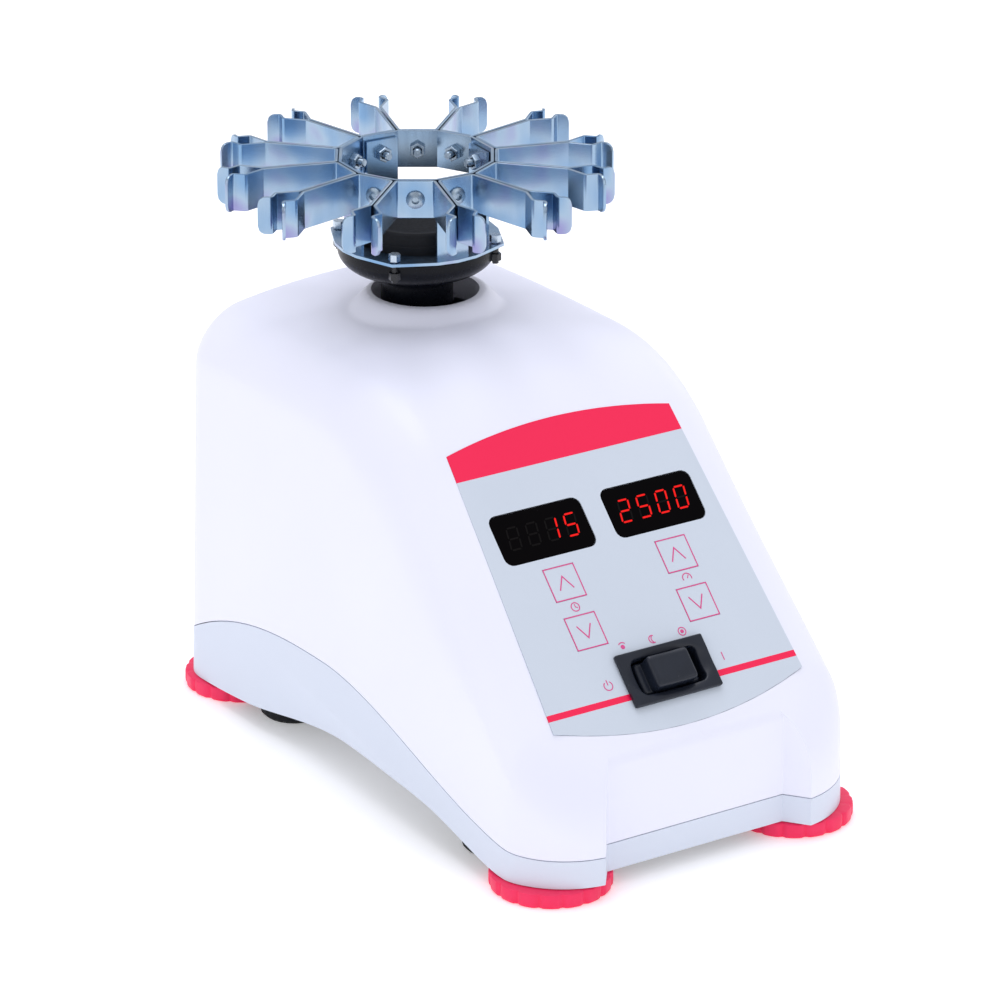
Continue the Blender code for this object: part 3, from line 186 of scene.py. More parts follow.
def lit(name, centre, aim, size, power, tint=(1.0, 1.0, 1.0)):
    """A square soft box that faces a point."""
    lamp = bpy.data.lights.new(name, "AREA")
    lamp.shape = "SQUARE"
    lamp.size = size
    lamp.energy = power
    lamp.color = tint
    made = bpy.data.objects.new(name, lamp)
    bpy.context.scene.collection.objects.link(made)
    away = Vector(centre) - Vector(aim)
    made.matrix_world = Matrix.Translation(centre) @ away.to_track_quat("Z", "Y").to_matrix().to_4x4()


lit("left_box", (-1.5, -0.15, 0.75), (0, 0, 0.08), 1.3, 2.4)
lit("front_box", (0.35, -1.7, 0.9), (0, 0, 0.08), 1.1, 2.6)
lit("top_box", (0.1, 0.35, 1.6), (0, 0, 0.1), 1.2, 12.0, (0.93, 0.93, 1.0))
lit("right_box", (1.6, 0.5, 0.8), (0, 0, 0.1), 1.0, 2.0)

sky = bpy.data.worlds.new("studio")
sky.use_nodes = True
sky.node_tree.nodes["Background"].inputs["Color"].default_value = (0.94, 0.95, 1.0, 1.0)
sky.node_tree.nodes["Background"].inputs["Strength"].default_value = 0.70
bpy.context.scene.world = sky

bench = bmesh.new()
bmesh.ops.create_grid(bench, x_segments=2, y_segments=2, size=6.0)
bench_top = put("bench_top", bench)
pale = Finish("pale_laminate", 0.55, Emission_Strength=0.26)
grain = pale.noise(0.02)
pale.set(Base_Color=pale.mix(grain, srgb(0.985, 0.985, 0.99), srgb(0.995, 0.995, 1.0)),
         Emission_Color=pale.mix(grain, srgb(0.985, 0.985, 0.98), srgb(1.0, 1.0, 0.99)))
bench_top.data.materials.append(pale.made)

# ---------------------------------------------------------------- white casing
# The upper casing is one satin white moulding with a fine spark-eroded texture. Its sides lean in, its domed
# roof bends into the sloping panel, and a shallow bay separates the two front corner posts.
WALL = 0.003
HALF_WIDTH = 0.0594
LEAN = 0.0028
REAR_LEAN = 0.0019
FRONT_Y = -0.107
REAR_Y = 0.1039
TOP_Z = 0.1305
ROOF_CROWN = 0.0073
SLOPE_CROWN = 0.0004
ROOF_FALL = 0.0023
CORNER_RADIUS = 0.0275
CORNER_X = HALF_WIDTH - 0.026
REAR_ARC = 0.025
REAR_TOP_RADIUS = 0.015
SLOPE_FOOT_Z = 0.0395
BEND_RADIUS = 0.062
LIP_RADIUS = 0.005
BAY_Y = FRONT_Y + 0.0073
BAY_HALF = 0.0312
BAY_LIP_RADIUS = 0.006
BAY_LIP_BEND = math.radians(40)
BAY_SPLAY = 0.76
AXIS_Y = 0.046
OPENING_RADIUS = 0.0165
SHOULDERS = ((0.0155, 0.0139), (0.0156, 0.0280), (0.0190, 0.0160))
DATUM = Vector((0.0, -0.03335, SLOPE_FOOT_Z + -0.03335 - BAY_Y))
DOWN = Vector((0.0, -math.sqrt(0.5), -math.sqrt(0.5)))
OUT = Vector((0.0, -math.sqrt(0.5), math.sqrt(0.5)))


def eased(start, end, value):
    """0 before start, 1 after end and a smooth blend between, for arrays."""
    share = np.clip((value - start) / (end - start), 0.0, 1.0)
    return share * share * (3 - 2 * share)


def soft_max(first, second, soft):
    """The larger of two distances, with the edge between them rounded."""
    near = np.maximum(soft - np.abs(first - second), 0.0) / soft
    return np.maximum(first, second) + near * near * soft / 4


def roof_line(y, inset):
    """Height of the centre line over y: lip, slope, bend, roof and rear rounding."""
    top = TOP_Z - inset
    drop = inset * math.sqrt(2)
    bend = BEND_RADIUS - inset
    meet = BAY_Y + top + drop - SLOPE_FOOT_Z
    reach = bend * math.tan(math.pi / 8)
    rear = REAR_Y - REAR_TOP_RADIUS
    fall = ROOF_FALL * (np.maximum(0.0, y - meet - reach) / (rear - meet - reach)) ** 2
    slope = SLOPE_FOOT_Z + y - BAY_Y - drop
    arc = top - bend + np.sqrt(np.maximum(0.0, bend * bend - (y - meet - reach) ** 2))
    radius = REAR_TOP_RADIUS - inset
    back = top - fall - radius + np.sqrt(np.maximum(0.0, radius * radius - (y - rear) ** 2))
    height = np.where(y > rear, back, np.where(y > meet + reach, top - fall, np.where(
        y > meet - reach * math.sqrt(0.5), arc, slope)))
    if inset == 0:
        middle = FRONT_Y + LIP_RADIUS
        middle_z = SLOPE_FOOT_Z + middle - BAY_Y - LIP_RADIUS * math.sqrt(2)
        lip = middle_z + np.sqrt(np.maximum(0.0, LIP_RADIUS ** 2 - (y - middle) ** 2))
        height = np.where(y < middle - LIP_RADIUS * math.sqrt(0.5), lip, height)
    return height


def body_form(x, y, z, inset=0.0, scoop=None):
    """Distance-like value of the whole casing form: below 0 inside, for arrays of points."""
    toward_rear = np.clip((y - REAR_Y + 0.064) / 0.030, 0.0, 1.0)
    y = y + REAR_LEAN * toward_rear * z / TOP_Z
    x = np.abs(x) + LEAN * z / TOP_Z
    if scoop is not None:
        x = x + scoop(y, z)
    radius = CORNER_RADIUS - inset
    past = np.maximum(np.maximum(FRONT_Y + CORNER_RADIUS - y, y - REAR_Y + REAR_ARC), 0.0)
    arc_width = CORNER_X + np.sqrt(np.maximum(radius * radius - past * past, 0.0))
    width = np.minimum(HALF_WIDTH - inset, arc_width)
    arc = np.where((past > 0) & (x > CORNER_X), np.hypot(np.maximum(x - CORNER_X, 0.0), past) - radius, -1.0)
    plan = soft_max(x - HALF_WIDTH + inset, arc, 0.0012)
    plan = np.maximum(plan, np.maximum(FRONT_Y + inset - y, y - REAR_Y + inset))
    crown = SLOPE_CROWN + (ROOF_CROWN - SLOPE_CROWN) * eased(-0.030, 0.020, y)
    top = roof_line(y, inset) - crown * np.minimum(x / HALF_WIDTH, 1.1) ** 2
    if inset == 0:
        ring = np.hypot(x - LEAN * z / TOP_Z, y - AXIS_Y)
        top = top + (TOP_Z + 0.0037 - top) * eased(0.0245, 0.0177, ring)
    onto_slope = eased(0.020, -0.030, y)
    onto_front = eased(-0.030, -0.090, y)
    roof_edge, slope_edge, front_edge = SHOULDERS
    across = roof_edge[0] + (slope_edge[0] - roof_edge[0]) * onto_slope
    across = across + (front_edge[0] - slope_edge[0]) * onto_front - inset
    down = roof_edge[1] + (slope_edge[1] - roof_edge[1]) * onto_slope
    down = down + (front_edge[1] - slope_edge[1]) * onto_front - inset
    over = (x - width + across) / across
    above = (z - top + down) / down
    rounded = (np.hypot(np.maximum(over, 0.0), np.maximum(above, 0.0)) - 1) * np.minimum(across, down)
    return np.maximum(plan, np.where((over > 0) & (above > 0), rounded, z - top))


def skinned(form, low, high, cell):
    """Wrap a form in an even mesh, with one surface point in each grid cell that it passes through."""
    counts = [int(math.ceil((high[k] - low[k]) / cell)) + 1 for k in range(3)]
    axes = [low[k] + cell * np.arange(counts[k]) for k in range(3)]
    value = form(*np.meshgrid(*axes, indexing="ij"))
    inside = value < 0
    corners = [inside[i:counts[0] - 1 + i, j:counts[1] - 1 + j, k:counts[2] - 1 + k]
               for i in (0, 1) for j in (0, 1) for k in (0, 1)]
    full = np.sum(corners, axis=0)
    crossed = (full > 0) & (full < 8)
    index = np.full(crossed.shape, -1)
    cells = np.argwhere(crossed)
    index[crossed] = np.arange(len(cells))
    points = np.array(low) + (cells + 0.5) * cell
    step = 2e-5
    for _ in range(12):
        here = form(*points.T)
        slope = np.stack([form(*(points + step * np.eye(3)[k]).T) - form(*(points - step * np.eye(3)[k]).T)
                          for k in range(3)], axis=1) / (2 * step)
        size = np.maximum(np.sum(slope * slope, axis=1), 0.05)
        move = -(here / size)[:, None] * slope
        length = np.linalg.norm(move, axis=1, keepdims=True)
        points = points + move * np.minimum(1.0, 0.5 * cell / np.maximum(length, 1e-12))
    faces = []
    for axis in range(3):
        first, second = [k for k in range(3) if k != axis]
        lower = [slice(None)] * 3
        upper = [slice(None)] * 3
        lower[axis] = slice(0, counts[axis] - 1)
        upper[axis] = slice(1, counts[axis])
        change = inside[tuple(lower)].astype(int) - inside[tuple(upper)].astype(int)
        spots = np.argwhere(change != 0)
        spots = spots[(spots[:, first] > 0) & (spots[:, second] > 0)
                      & (spots[:, first] < counts[first] - 1) & (spots[:, second] < counts[second] - 1)]
        sign = change[tuple(spots.T)]
        a = spots.copy()
        a[:, first] -= 1
        a[:, second] -= 1
        b = spots.copy()
        b[:, second] -= 1
        c = spots
        d = spots.copy()
        d[:, first] -= 1
        quads = np.stack([index[tuple(p.T)] for p in (a, b, c, d)], axis=1)
        flip = (sign > 0) == (axis == 1)
        quads[flip] = quads[flip][:, ::-1]
        faces.append(quads)
    return points, np.concatenate(faces)


def hollow_body(name, outer, inner):
    """One object of an outer skin and an inner one that faces the other way."""
    points = np.concatenate([outer[0], inner[0]])
    faces = np.concatenate([outer[1], inner[1][:, ::-1] + len(outer[0])])
    mesh = bpy.data.meshes.new(name)
    mesh.from_pydata(points.tolist(), [], faces.tolist())
    made = bpy.data.objects.new(name, mesh)
    bpy.context.scene.collection.objects.link(made)
    return made


def prism(outline, low, high, place=None):
    """A closed straight prism on an outline in X and Y."""
    bm = bmesh.new()
    base = bm.faces.new([bm.verts.new((x, y, low)) for x, y in outline])
    walls = bmesh.ops.extrude_face_region(bm, geom=[base])
    top = [item for item in walls["geom"] if isinstance(item, bmesh.types.BMVert)]
    bmesh.ops.translate(bm, verts=top, vec=(0.0, 0.0, high - low))
    bmesh.ops.recalc_face_normals(bm, faces=bm.faces)
    if place is not None:
        bm.transform(place)
    return bm


def gathered(pieces):
    """One bmesh of several."""
    bm = bmesh.new()
    for piece in pieces:
        scratch = bpy.data.meshes.new("scratch")
        piece.to_mesh(scratch)
        piece.free()
        bm.from_mesh(scratch)
        bpy.data.meshes.remove(scratch)
    return bm


def carve(target, pieces):
    """Cut the gathered pieces out of target at once, and keep only the result."""
    cutter = put("cutter", gathered(pieces))
    cut = target.modifiers.new("cut", "BOOLEAN")
    cut.operation = "DIFFERENCE"
    cut.solver = "EXACT"
    cut.object = cutter
    cut.use_hole_tolerant = False
    evaluated = target.evaluated_get(bpy.context.evaluated_depsgraph_get())
    mesh = bpy.data.meshes.new_from_object(evaluated)
    target.modifiers.clear()
    target.data = mesh
    bpy.data.objects.remove(cutter, do_unlink=True)


def ring_points(radius, count, turned=0.0, centre=(0.0, 0.0)):
    """Points around a circle."""
    return [(centre[0] + radius * math.cos(turned + 2 * math.pi * k / count),
             centre[1] + radius * math.sin(turned + 2 * math.pi * k / count)) for k in range(count)]


def rounded(width, depth, radius, steps=6):
    """Outline of a rectangle with round corners."""
    points = []
    for quarter, (sx, sy) in enumerate(((1, 1), (-1, 1), (-1, -1), (1, -1))):
        for k in range(steps + 1):
            angle = math.pi / 2 * (quarter + k / steps)
            points.append((sx * (width / 2 - radius) + radius * math.cos(angle),
                           sy * (depth / 2 - radius) + radius * math.sin(angle)))
    return points


def on_slope(s=0.0, n=0.0, x=0.0):
    """Frame on the sloping panel: X across it, Y up it and Z out of it."""
    spot = DATUM + DOWN * s + OUT * n + Vector((x, 0.0, 0.0))
    return Matrix.Translation(spot) @ Matrix((Vector((1, 0, 0)), -DOWN, OUT)).transposed().to_4x4()


def seam_line(y):
    """Height of the seam between casing and skirt."""
    if y > 0.012:
        return 0.0366 - (0.0366 - 0.0112) * ((y - 0.012) / (REAR_Y - 0.012)) ** 2.7
    share = min(1.0, (0.012 - y) / (0.012 - FRONT_Y) * 1.05)
    return 0.0366 - (0.0366 - 0.0136) * math.sin(math.pi / 2 * share) ** 1.75


def along_body(height, shift, far, count=90):
    """A block across the body, bounded by a height curve along Y and a level far from it."""
    reach = 0.012
    ys = np.linspace(FRONT_Y - reach, REAR_Y + reach, count)
    outline = [(y, height(min(max(y, FRONT_Y), REAR_Y)) + shift) for y in ys]
    outline += [(ys[-1], far), (ys[0], far)]
    across = Matrix(((0, 0, 1, 0), (1, 0, 0, 0), (0, 1, 0, 0), (0, 0, 0, 1)))
    return prism(outline, -HALF_WIDTH - reach, HALF_WIDTH + reach, across)


def bay_block():
    """The space in front of the bay: its back has a rounded lip and its sides splay outwards."""
    past = 0.02
    reach = BAY_LIP_RADIUS * math.tan(math.pi / 8)
    profile = [(BAY_Y, -past)]
    for k in range(9):
        angle = BAY_LIP_BEND * k / 8
        profile.append((BAY_Y + BAY_LIP_RADIUS * (1 - math.cos(angle)),
                        SLOPE_FOOT_Z - reach + BAY_LIP_RADIUS * math.sin(angle)))
    profile += [(profile[-1][0], SLOPE_FOOT_Z + past), (FRONT_Y - 0.01, SLOPE_FOOT_Z + past),
                (FRONT_Y - 0.01, -past)]
    bm = bmesh.new()
    loops = [[bm.verts.new((side * (BAY_HALF + BAY_SPLAY * (BAY_Y - y)), y, z)) for y, z in profile]
             for side in (-1, 1)]
    bm.faces.new(loops[0])
    bm.faces.new(loops[1])
    for k in range(len(profile)):
        after = (k + 1) % len(profile)
        bm.faces.new((loops[0][k], loops[0][after], loops[1][after], loops[1][k]))
    bmesh.ops.recalc_face_normals(bm, faces=bm.faces)
    return bm


def film_edge(grow):
    """Outline of the panel film, with bowed upper and lower edges."""
    points = []
    for k in range(33):
        share = 1 - k / 16
        points.append(((0.0395 + grow) * share, 0.0087 + grow + 0.0046 * (1 - share * share)))
    for k in range(33):
        share = k / 16 - 1
        points.append(((0.0440 + grow) * share, -0.0813 - grow - 0.0075 * (1 - share * share)))
    return points


def middle_of(node):
    """Middle of a CAD node's box."""
    low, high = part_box(node)
    return (low + high) / 2


DISPLAY_S = 0.0208
DISPLAY_X = 0.0196
KEY_X = 0.01985
KEY_UP_S = 0.0377
KEY_DOWN_S = 0.0537
SWITCH_S = 0.0720
SEAM_HALF = 0.00015
INNER_CELL = 0.0025
INLET = middle_of("power_inlet")
cell = 0.00125
low = (-0.063, -0.110, 0.004)
high = (0.063, 0.107, 0.138)
outer_skin = skinned(body_form, low, high, cell)
inner_skin = skinned(lambda x, y, z: np.maximum(body_form(x, y, z, WALL), BAY_Y + WALL - y),
                     low, high, INNER_CELL)
casing = hollow_body("casing", outer_skin, inner_skin)
mouth = prism(ring_points(OPENING_RADIUS, 96, 0.01, (0.0, AXIS_Y)), TOP_Z - 0.02, TOP_Z + 0.02)
seat = prism(film_edge(0.00005), -0.0010, 0.010, on_slope())
socket = prism(rounded(0.0278, 0.0202, 0.0012), -0.012, 0.012,
               Matrix.Translation((INLET.x, REAR_Y, INLET.z)) @ Matrix.Rotation(math.pi / 2, 4, "X"))
carve(casing, [along_body(seam_line, SEAM_HALF, -0.02), mouth, seat, socket])
carve(casing, [bay_block()])
panel_holes = [prism(rounded(0.0281, 0.0144, 0.0006), -0.012, 0.003, on_slope(SWITCH_S))]
for side in (-1, 1):
    panel_holes.append(prism(rounded(0.0321, 0.0164, 0.0026), -0.012, 0.003,
                             on_slope(DISPLAY_S, 0, side * DISPLAY_X)))
    for s in (KEY_UP_S, KEY_DOWN_S):
        panel_holes.append(prism(rounded(0.0109, 0.0109, 0.0006), -0.012, 0.003,
                                 on_slope(s, 0, side * KEY_X)))
carve(casing, panel_holes)
casing.data.shade_smooth()
casing.data.set_sharp_from_angle(angle=math.radians(32))

white = Finish("satin_white_moulding", 0.4, Specular_IOR_Level=0.45)
cloud = white.noise(0.05, 1.0)
pores = white.noise(0.00045, 2.0)
white.set(Base_Color=white.mix(cloud, srgb(0.925, 0.928, 0.985), srgb(0.945, 0.948, 0.990)),
          Roughness=0.37 + 0.10 * white.noise(0.0016))
white.relief(pores, 0.00002, 0.5)
casing.data.materials.clear()
casing.data.materials.append(white.made)
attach(casing, "root")
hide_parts("housing_shell")

# ---------------------------------------------------------------- grey skirt
# A pale grey moulding continues the casing's walls below the seam. Its lower edge arches between the feet,
# and the side is scooped under the arch for the fingers that lift the mixer.


def grip(y, z):
    """How far the skirt's side is scooped inwards."""
    crease = 0.0200 + 0.176 * y
    share = np.minimum(eased(-0.044, -0.034, y), eased(0.056, 0.004, y))
    depth = (crease - z + np.sqrt((crease - z) ** 2 + 0.0012 ** 2)) / 2
    return 0.40 * share * depth


def arch_line(y):
    """Height of the skirt's lower edge."""
    rise = float(eased(FRONT_Y + 0.018, -0.038, y))
    fall = float(eased(REAR_Y - 0.014, -0.012, y))
    return 0.0049 + (0.0128 - 0.0049) * min(rise, fall)


low = (-0.063, -0.110, -0.006)
high = (0.063, 0.107, 0.046)
outer_skin = skinned(lambda x, y, z: np.maximum(body_form(x, y, z, 0.0, grip), z - 0.042), low, high, cell)
inner_skin = skinned(lambda x, y, z: np.maximum(
    np.maximum(body_form(x, y, z, WALL, grip), BAY_Y + WALL - y),
    np.maximum(z - 0.0395, -0.0035 - z)), low, high, INNER_CELL)
skirt = hollow_body("skirt", outer_skin, inner_skin)
carve(skirt, [along_body(seam_line, -SEAM_HALF, 0.15), along_body(arch_line, 0.0, -0.05)])
carve(skirt, [bay_block()])
skirt.data.shade_smooth()
skirt.data.set_sharp_from_angle(angle=math.radians(32))
grey = Finish("satin_grey_moulding", 0.45, Specular_IOR_Level=0.4)
cloud = grey.noise(0.05, 1.0)
pores = grey.noise(0.00045, 2.0)
grey.set(Base_Color=grey.mix(cloud, srgb(0.845, 0.872, 0.925), srgb(0.865, 0.890, 0.940)),
         Roughness=0.42 + 0.10 * grey.noise(0.0016))
grey.relief(pores, 0.00002, 0.5)
skirt.data.materials.clear()
skirt.data.materials.append(grey.made)
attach(skirt, "root")
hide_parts("base_skirt")

# ---------------------------------------------------------------- feet, pads and bottom plate
# Each corner stands on a red rubber disc with finger scallops round its edge, and black rubber pads sit
# inboard of them. The discs' stems and the casing screws pass through the pressed steel bottom plate.
FOOT_RADIUS = 0.0182
FOOT_STEM_RADIUS = 0.0065
SCALLOPS = 16
SCALLOP_DEPTH = 0.0007


def join_rings(bm, rows):
    """Faces between neighbouring rings of points, where a ring of one point is a pole."""
    for lower, upper in zip(rows, rows[1:]):
        count = max(len(lower), len(upper))
        for k in range(count):
            after = (k + 1) % count
            corners = [lower[k % len(lower)], lower[after % len(lower)],
                       upper[after % len(upper)], upper[k % len(upper)]]
            distinct = list(dict.fromkeys(corners))
            if len(distinct) > 2:
                bm.faces.new(distinct)
    bmesh.ops.recalc_face_normals(bm, faces=bm.faces)


def scalloped_foot(name):
    """One red foot from its bench face up to its stem."""
    low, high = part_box(name)
    middle = (low + high) / 2
    rings = [(0.0, 0.0004), (0.0155, 0.0002), (0.0166, 0.0), (FOOT_RADIUS - 0.0005, 0.0),
             (FOOT_RADIUS - 0.0001, 0.0005), (FOOT_RADIUS, 0.0012), (FOOT_RADIUS, 0.0036),
             (FOOT_RADIUS - 0.0002, 0.0043), (FOOT_RADIUS - 0.0008, 0.0046), (0.0068, 0.0046),
             (FOOT_STEM_RADIUS, 0.0049), (FOOT_STEM_RADIUS, high.z), (0.0, high.z)]
    bm = bmesh.new()
    count = 12 * SCALLOPS
    rows = []
    for radius, z in rings:
        if radius == 0.0:
            rows.append([bm.verts.new((middle.x, middle.y, z))])
            continue
        row = []
        for k in range(count):
            angle = 2 * math.pi * k / count
            notch = max(0.0, math.cos(SCALLOPS * angle)) ** 3 * SCALLOP_DEPTH
            here = radius - notch * min(1.0, max(0.0, (radius - 0.0150) / 0.0020))
            row.append(bm.verts.new((middle.x + here * math.cos(angle),
                                     middle.y + here * math.sin(angle), z)))
        rows.append(row)
    join_rings(bm, rows)
    foot = put(name.replace("foot", "scalloped_foot"), bm, 40)
    foot.data.materials.append(red.made)
    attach(foot, "root")
    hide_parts(name)


def dress(finish, *names):
    """Give CAD nodes a finish."""
    for name in names:
        NODES[name].data.materials.clear()
        NODES[name].data.materials.append(finish.made)


red = Finish("red_rubber_moulding", 0.42, Specular_IOR_Level=0.4)
red.set(Base_Color=red.mix(red.noise(0.006), srgb(0.965, 0.110, 0.330), srgb(0.985, 0.180, 0.390)),
        Roughness=0.36 + 0.16 * red.noise(0.0011))
red.relief(red.noise(0.0006), 0.00003, 0.5)
corners = ("front_left", "front_right", "rear_left", "rear_right")
for corner in corners:
    scalloped_foot(f"foot_{corner}")

rubber = Finish("matt_black_rubber", 0.7, Specular_IOR_Level=0.3)
rubber.set(Base_Color=rubber.mix(rubber.noise(0.004), srgb(0.040, 0.045, 0.062), srgb(0.075, 0.082, 0.105)),
           Roughness=0.58 + 0.22 * rubber.noise(0.0008))
rubber.relief(rubber.noise(0.0004), 0.00003, 0.6)
dress(rubber, *[f"rubber_pad_{corner}" for corner in corners], *[f"isolator_{corner}" for corner in corners],
      "restraint_boot")

steel = Finish("plain_steel", 0.34, 1.0)
streak = steel.noise(0.0009, 2.0, 0.6, (1.0, 1.0, 0.05))
steel.set(Base_Color=steel.mix(steel.noise(0.008), srgb(0.66, 0.67, 0.70), srgb(0.78, 0.79, 0.82)),
          Roughness=0.22 + 0.22 * streak)
steel.relief(streak, 0.00001, 0.5)
dress(steel, "bottom_plate", *[f"casing_screw_{corner}" for corner in corners], "motor_bracket", "motor_can",
      "motor_end_bell", "rotor", "motor_shaft", "eccentric_hub", "head_bearing")

iron = Finish("cast_iron_block", 0.6, 0.9)
iron.set(Base_Color=iron.mix(iron.noise(0.003), srgb(0.17, 0.17, 0.18), srgb(0.27, 0.27, 0.29)),
         Roughness=0.50 + 0.25 * iron.noise(0.0015))
iron.relief(iron.noise(0.0012), 0.00015, 0.8)
dress(iron, "ballast_weight")

winding = Finish("enamelled_winding", 0.4, 0.8)
turns = winding.node("ShaderNodeTexWave", {"wave_type": "RINGS", "rings_direction": "Z"},
                     {"Vector": winding.place(), "Scale": 900.0, "Distortion": 0.5})
winding.set(Base_Color=winding.mix(turns, srgb(0.50, 0.24, 0.12), srgb(0.80, 0.46, 0.26)),
            Roughness=0.30 + 0.2 * turns)
dress(winding, "stator")

board = Finish("solder_mask_board", 0.35)
tracks = board.ramp(board.noise(0.003), 0.5, 0.53)
board.set(Base_Color=board.mix(tracks, srgb(0.04, 0.26, 0.14), srgb(0.09, 0.40, 0.22)),
          Roughness=0.30 + 0.15 * board.noise(0.001))
dress(board, "control_board")

# ---------------------------------------------------------------- head
# The head is one glossy black moulding: a hollow neck that comes up through the roof opening and a shallow
# bowl above it. A soft black rubber cup is pressed into the bowl.
PIN_OFFSET = 0.00245
PIN_TURN = math.radians(146.75)
PIN = Vector((PIN_OFFSET * math.cos(PIN_TURN), AXIS_Y + PIN_OFFSET * math.sin(PIN_TURN), 0.0))
NECK_RADIUS = 0.0110
BORE_RADIUS = 0.0088
BOWL_RADIUS = 0.0242
BOWL_FOOT_RADIUS = 0.0130
SEAT_RADIUS = 0.0181


def turned(profile, count, place=None):
    """Revolve a profile of (radius, height) points about Z."""
    bm = bmesh.new()
    rows = []
    for radius, height in profile:
        if radius == 0:
            rows.append([bm.verts.new((0.0, 0.0, height))])
        else:
            rows.append([bm.verts.new((x, y, height)) for x, y in ring_points(radius, count)])
    join_rings(bm, rows)
    if place is not None:
        bm.transform(place)
    return bm


black = Finish("gloss_black_moulding", 0.25, Specular_IOR_Level=0.16)
black.set(Base_Color=black.mix(black.noise(0.01), srgb(0.022, 0.030, 0.055), srgb(0.045, 0.056, 0.090)),
          Roughness=0.22 + 0.14 * black.noise(0.002))
black.relief(black.noise(0.0007), 0.00001, 0.4)

low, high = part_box("head_bowl")
rim, neck_low = high.z, low.z
bore_top = TOP_Z + 0.0035
start = TOP_Z + 0.0100
depth = rim - 0.0022 - start
bowl = [(0.0, bore_top), (BORE_RADIUS, bore_top), (BORE_RADIUS, neck_low + 0.0003), (0.0091, neck_low),
        (0.0107, neck_low), (NECK_RADIUS, neck_low + 0.0003), (NECK_RADIUS, start - 0.0030),
        (0.0112, start - 0.0018), (0.0118, start - 0.0007)]
for k in range(17):
    angle = math.pi / 2 * k / 16
    bowl.append((BOWL_FOOT_RADIUS + (BOWL_RADIUS - BOWL_FOOT_RADIUS) * math.sin(angle),
                 start + depth * (1 - math.cos(angle))))
bowl += [(BOWL_RADIUS, rim - 0.0004), (BOWL_RADIUS - 0.0004, rim), (0.0184, rim),
         (SEAT_RADIUS, rim - 0.0003), (SEAT_RADIUS, rim - 0.0030), (0.0, rim - 0.0030)]
head_bowl = put("moulded_head", turned(bowl, 128, Matrix.Translation(PIN)), 35)
head_bowl.data.materials.append(black.made)
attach(head_bowl, "head")
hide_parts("head_bowl")

low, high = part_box("rubber_cup")
top, radius = high.z, (high.x - low.x) / 2
cup = [(0.0, low.z), (radius - 0.0004, low.z), (radius, low.z + 0.0004), (radius, top - 0.0042),
       (radius - 0.0003, top - 0.0039), (radius - 0.0003, top - 0.0012), (radius - 0.0006, top - 0.0005),
       (radius - 0.0012, top), (radius - 0.0022, top), (radius - 0.0027, top - 0.0003)]
for k in range(13):
    share = k / 12
    cup.append(((radius - 0.0030) * (1 - share), top - 0.0005 - 0.0045 * math.sin(math.pi / 2 * share)))
rubber_cup = put("pressed_rubber_cup", turned(cup, 96, Matrix.Translation(PIN)), 35)
rubber_cup.data.materials.append(rubber.made)
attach(rubber_cup, "head")
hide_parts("rubber_cup")

# ---------------------------------------------------------------- tube carousel
# Everything in the carousel is bent from bright zinc-plated sheet 0.9 mm thick: a deck with four legs, a
# twelve-sided ring and twelve spring brackets. Button screws hold the brackets, with their nuts inside.
SHEET = 0.0009
APOTHEM = 0.0233
RING_LOW, RING_HIGH = (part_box("carousel_ring")[k].z for k in (0, 1))
FACET = math.radians(30)
FIRST_FACET = math.radians(-123.25)
LEGS = (1, 4, 7, 10)
PLAY = 0.0003
BEND_INSIDE = 0.0011
TIP_RADIUS = 0.0024

zinc = Finish("bright_zinc_plate", 0.25, 1.0)
bloom = zinc.noise(0.016, 1.5, 0.5)
rolled = zinc.noise(0.0016, 3.0, 0.6, (1.0, 1.0, 0.06))
spangle = zinc.noise(0.0007, 2.0)
tint = zinc.mix(zinc.ramp(bloom, 0.36, 0.60), srgb(0.50, 0.64, 0.78), srgb(0.66, 0.74, 0.81))
tint = zinc.mix(zinc.ramp(bloom, 0.57, 0.74), tint, srgb(0.59, 0.58, 0.76))
zinc.set(Base_Color=zinc.mix(rolled * 0.12, tint, srgb(0.44, 0.52, 0.60)), Roughness=0.21 + 0.08 * rolled)
zinc.relief(rolled * 0.7 + spangle * 0.3, 0.000003, 0.4)
dress(zinc, "carousel_deck", "carousel_ring")


def facet_frame(index):
    """Frame on the head's axis, with X towards facet number index."""
    return Matrix.Translation(PIN) @ Matrix.Rotation(FIRST_FACET + FACET * index, 4, "Z")


def bent_line(points, radius, steps=5):
    """An open line with its bends rounded."""
    line = [Vector(points[0])]
    for before, here, after in zip(points, points[1:], points[2:]):
        before, here, after = Vector(before), Vector(here), Vector(after)
        into, out = (before - here), (after - here)
        half = into.angle(out) / 2
        reach = min(radius / math.tan(half), 0.45 * into.length, 0.45 * out.length)
        first = here + into.normalized() * reach
        last = here + out.normalized() * reach
        for k in range(steps + 1):
            share = k / steps
            line.append(first * (1 - share) ** 2 + here * 2 * share * (1 - share) + last * share ** 2)
    line.append(Vector(points[-1]))
    return line


def spaced(line, step):
    """The line with points added so that none are further apart than step."""
    dense = [line[0]]
    for point in line[1:]:
        parts = max(1, int(math.ceil((point - dense[-1]).length / step)))
        start = dense[-1]
        dense += [start.lerp(point, (k + 1) / parts) for k in range(parts)]
    return dense


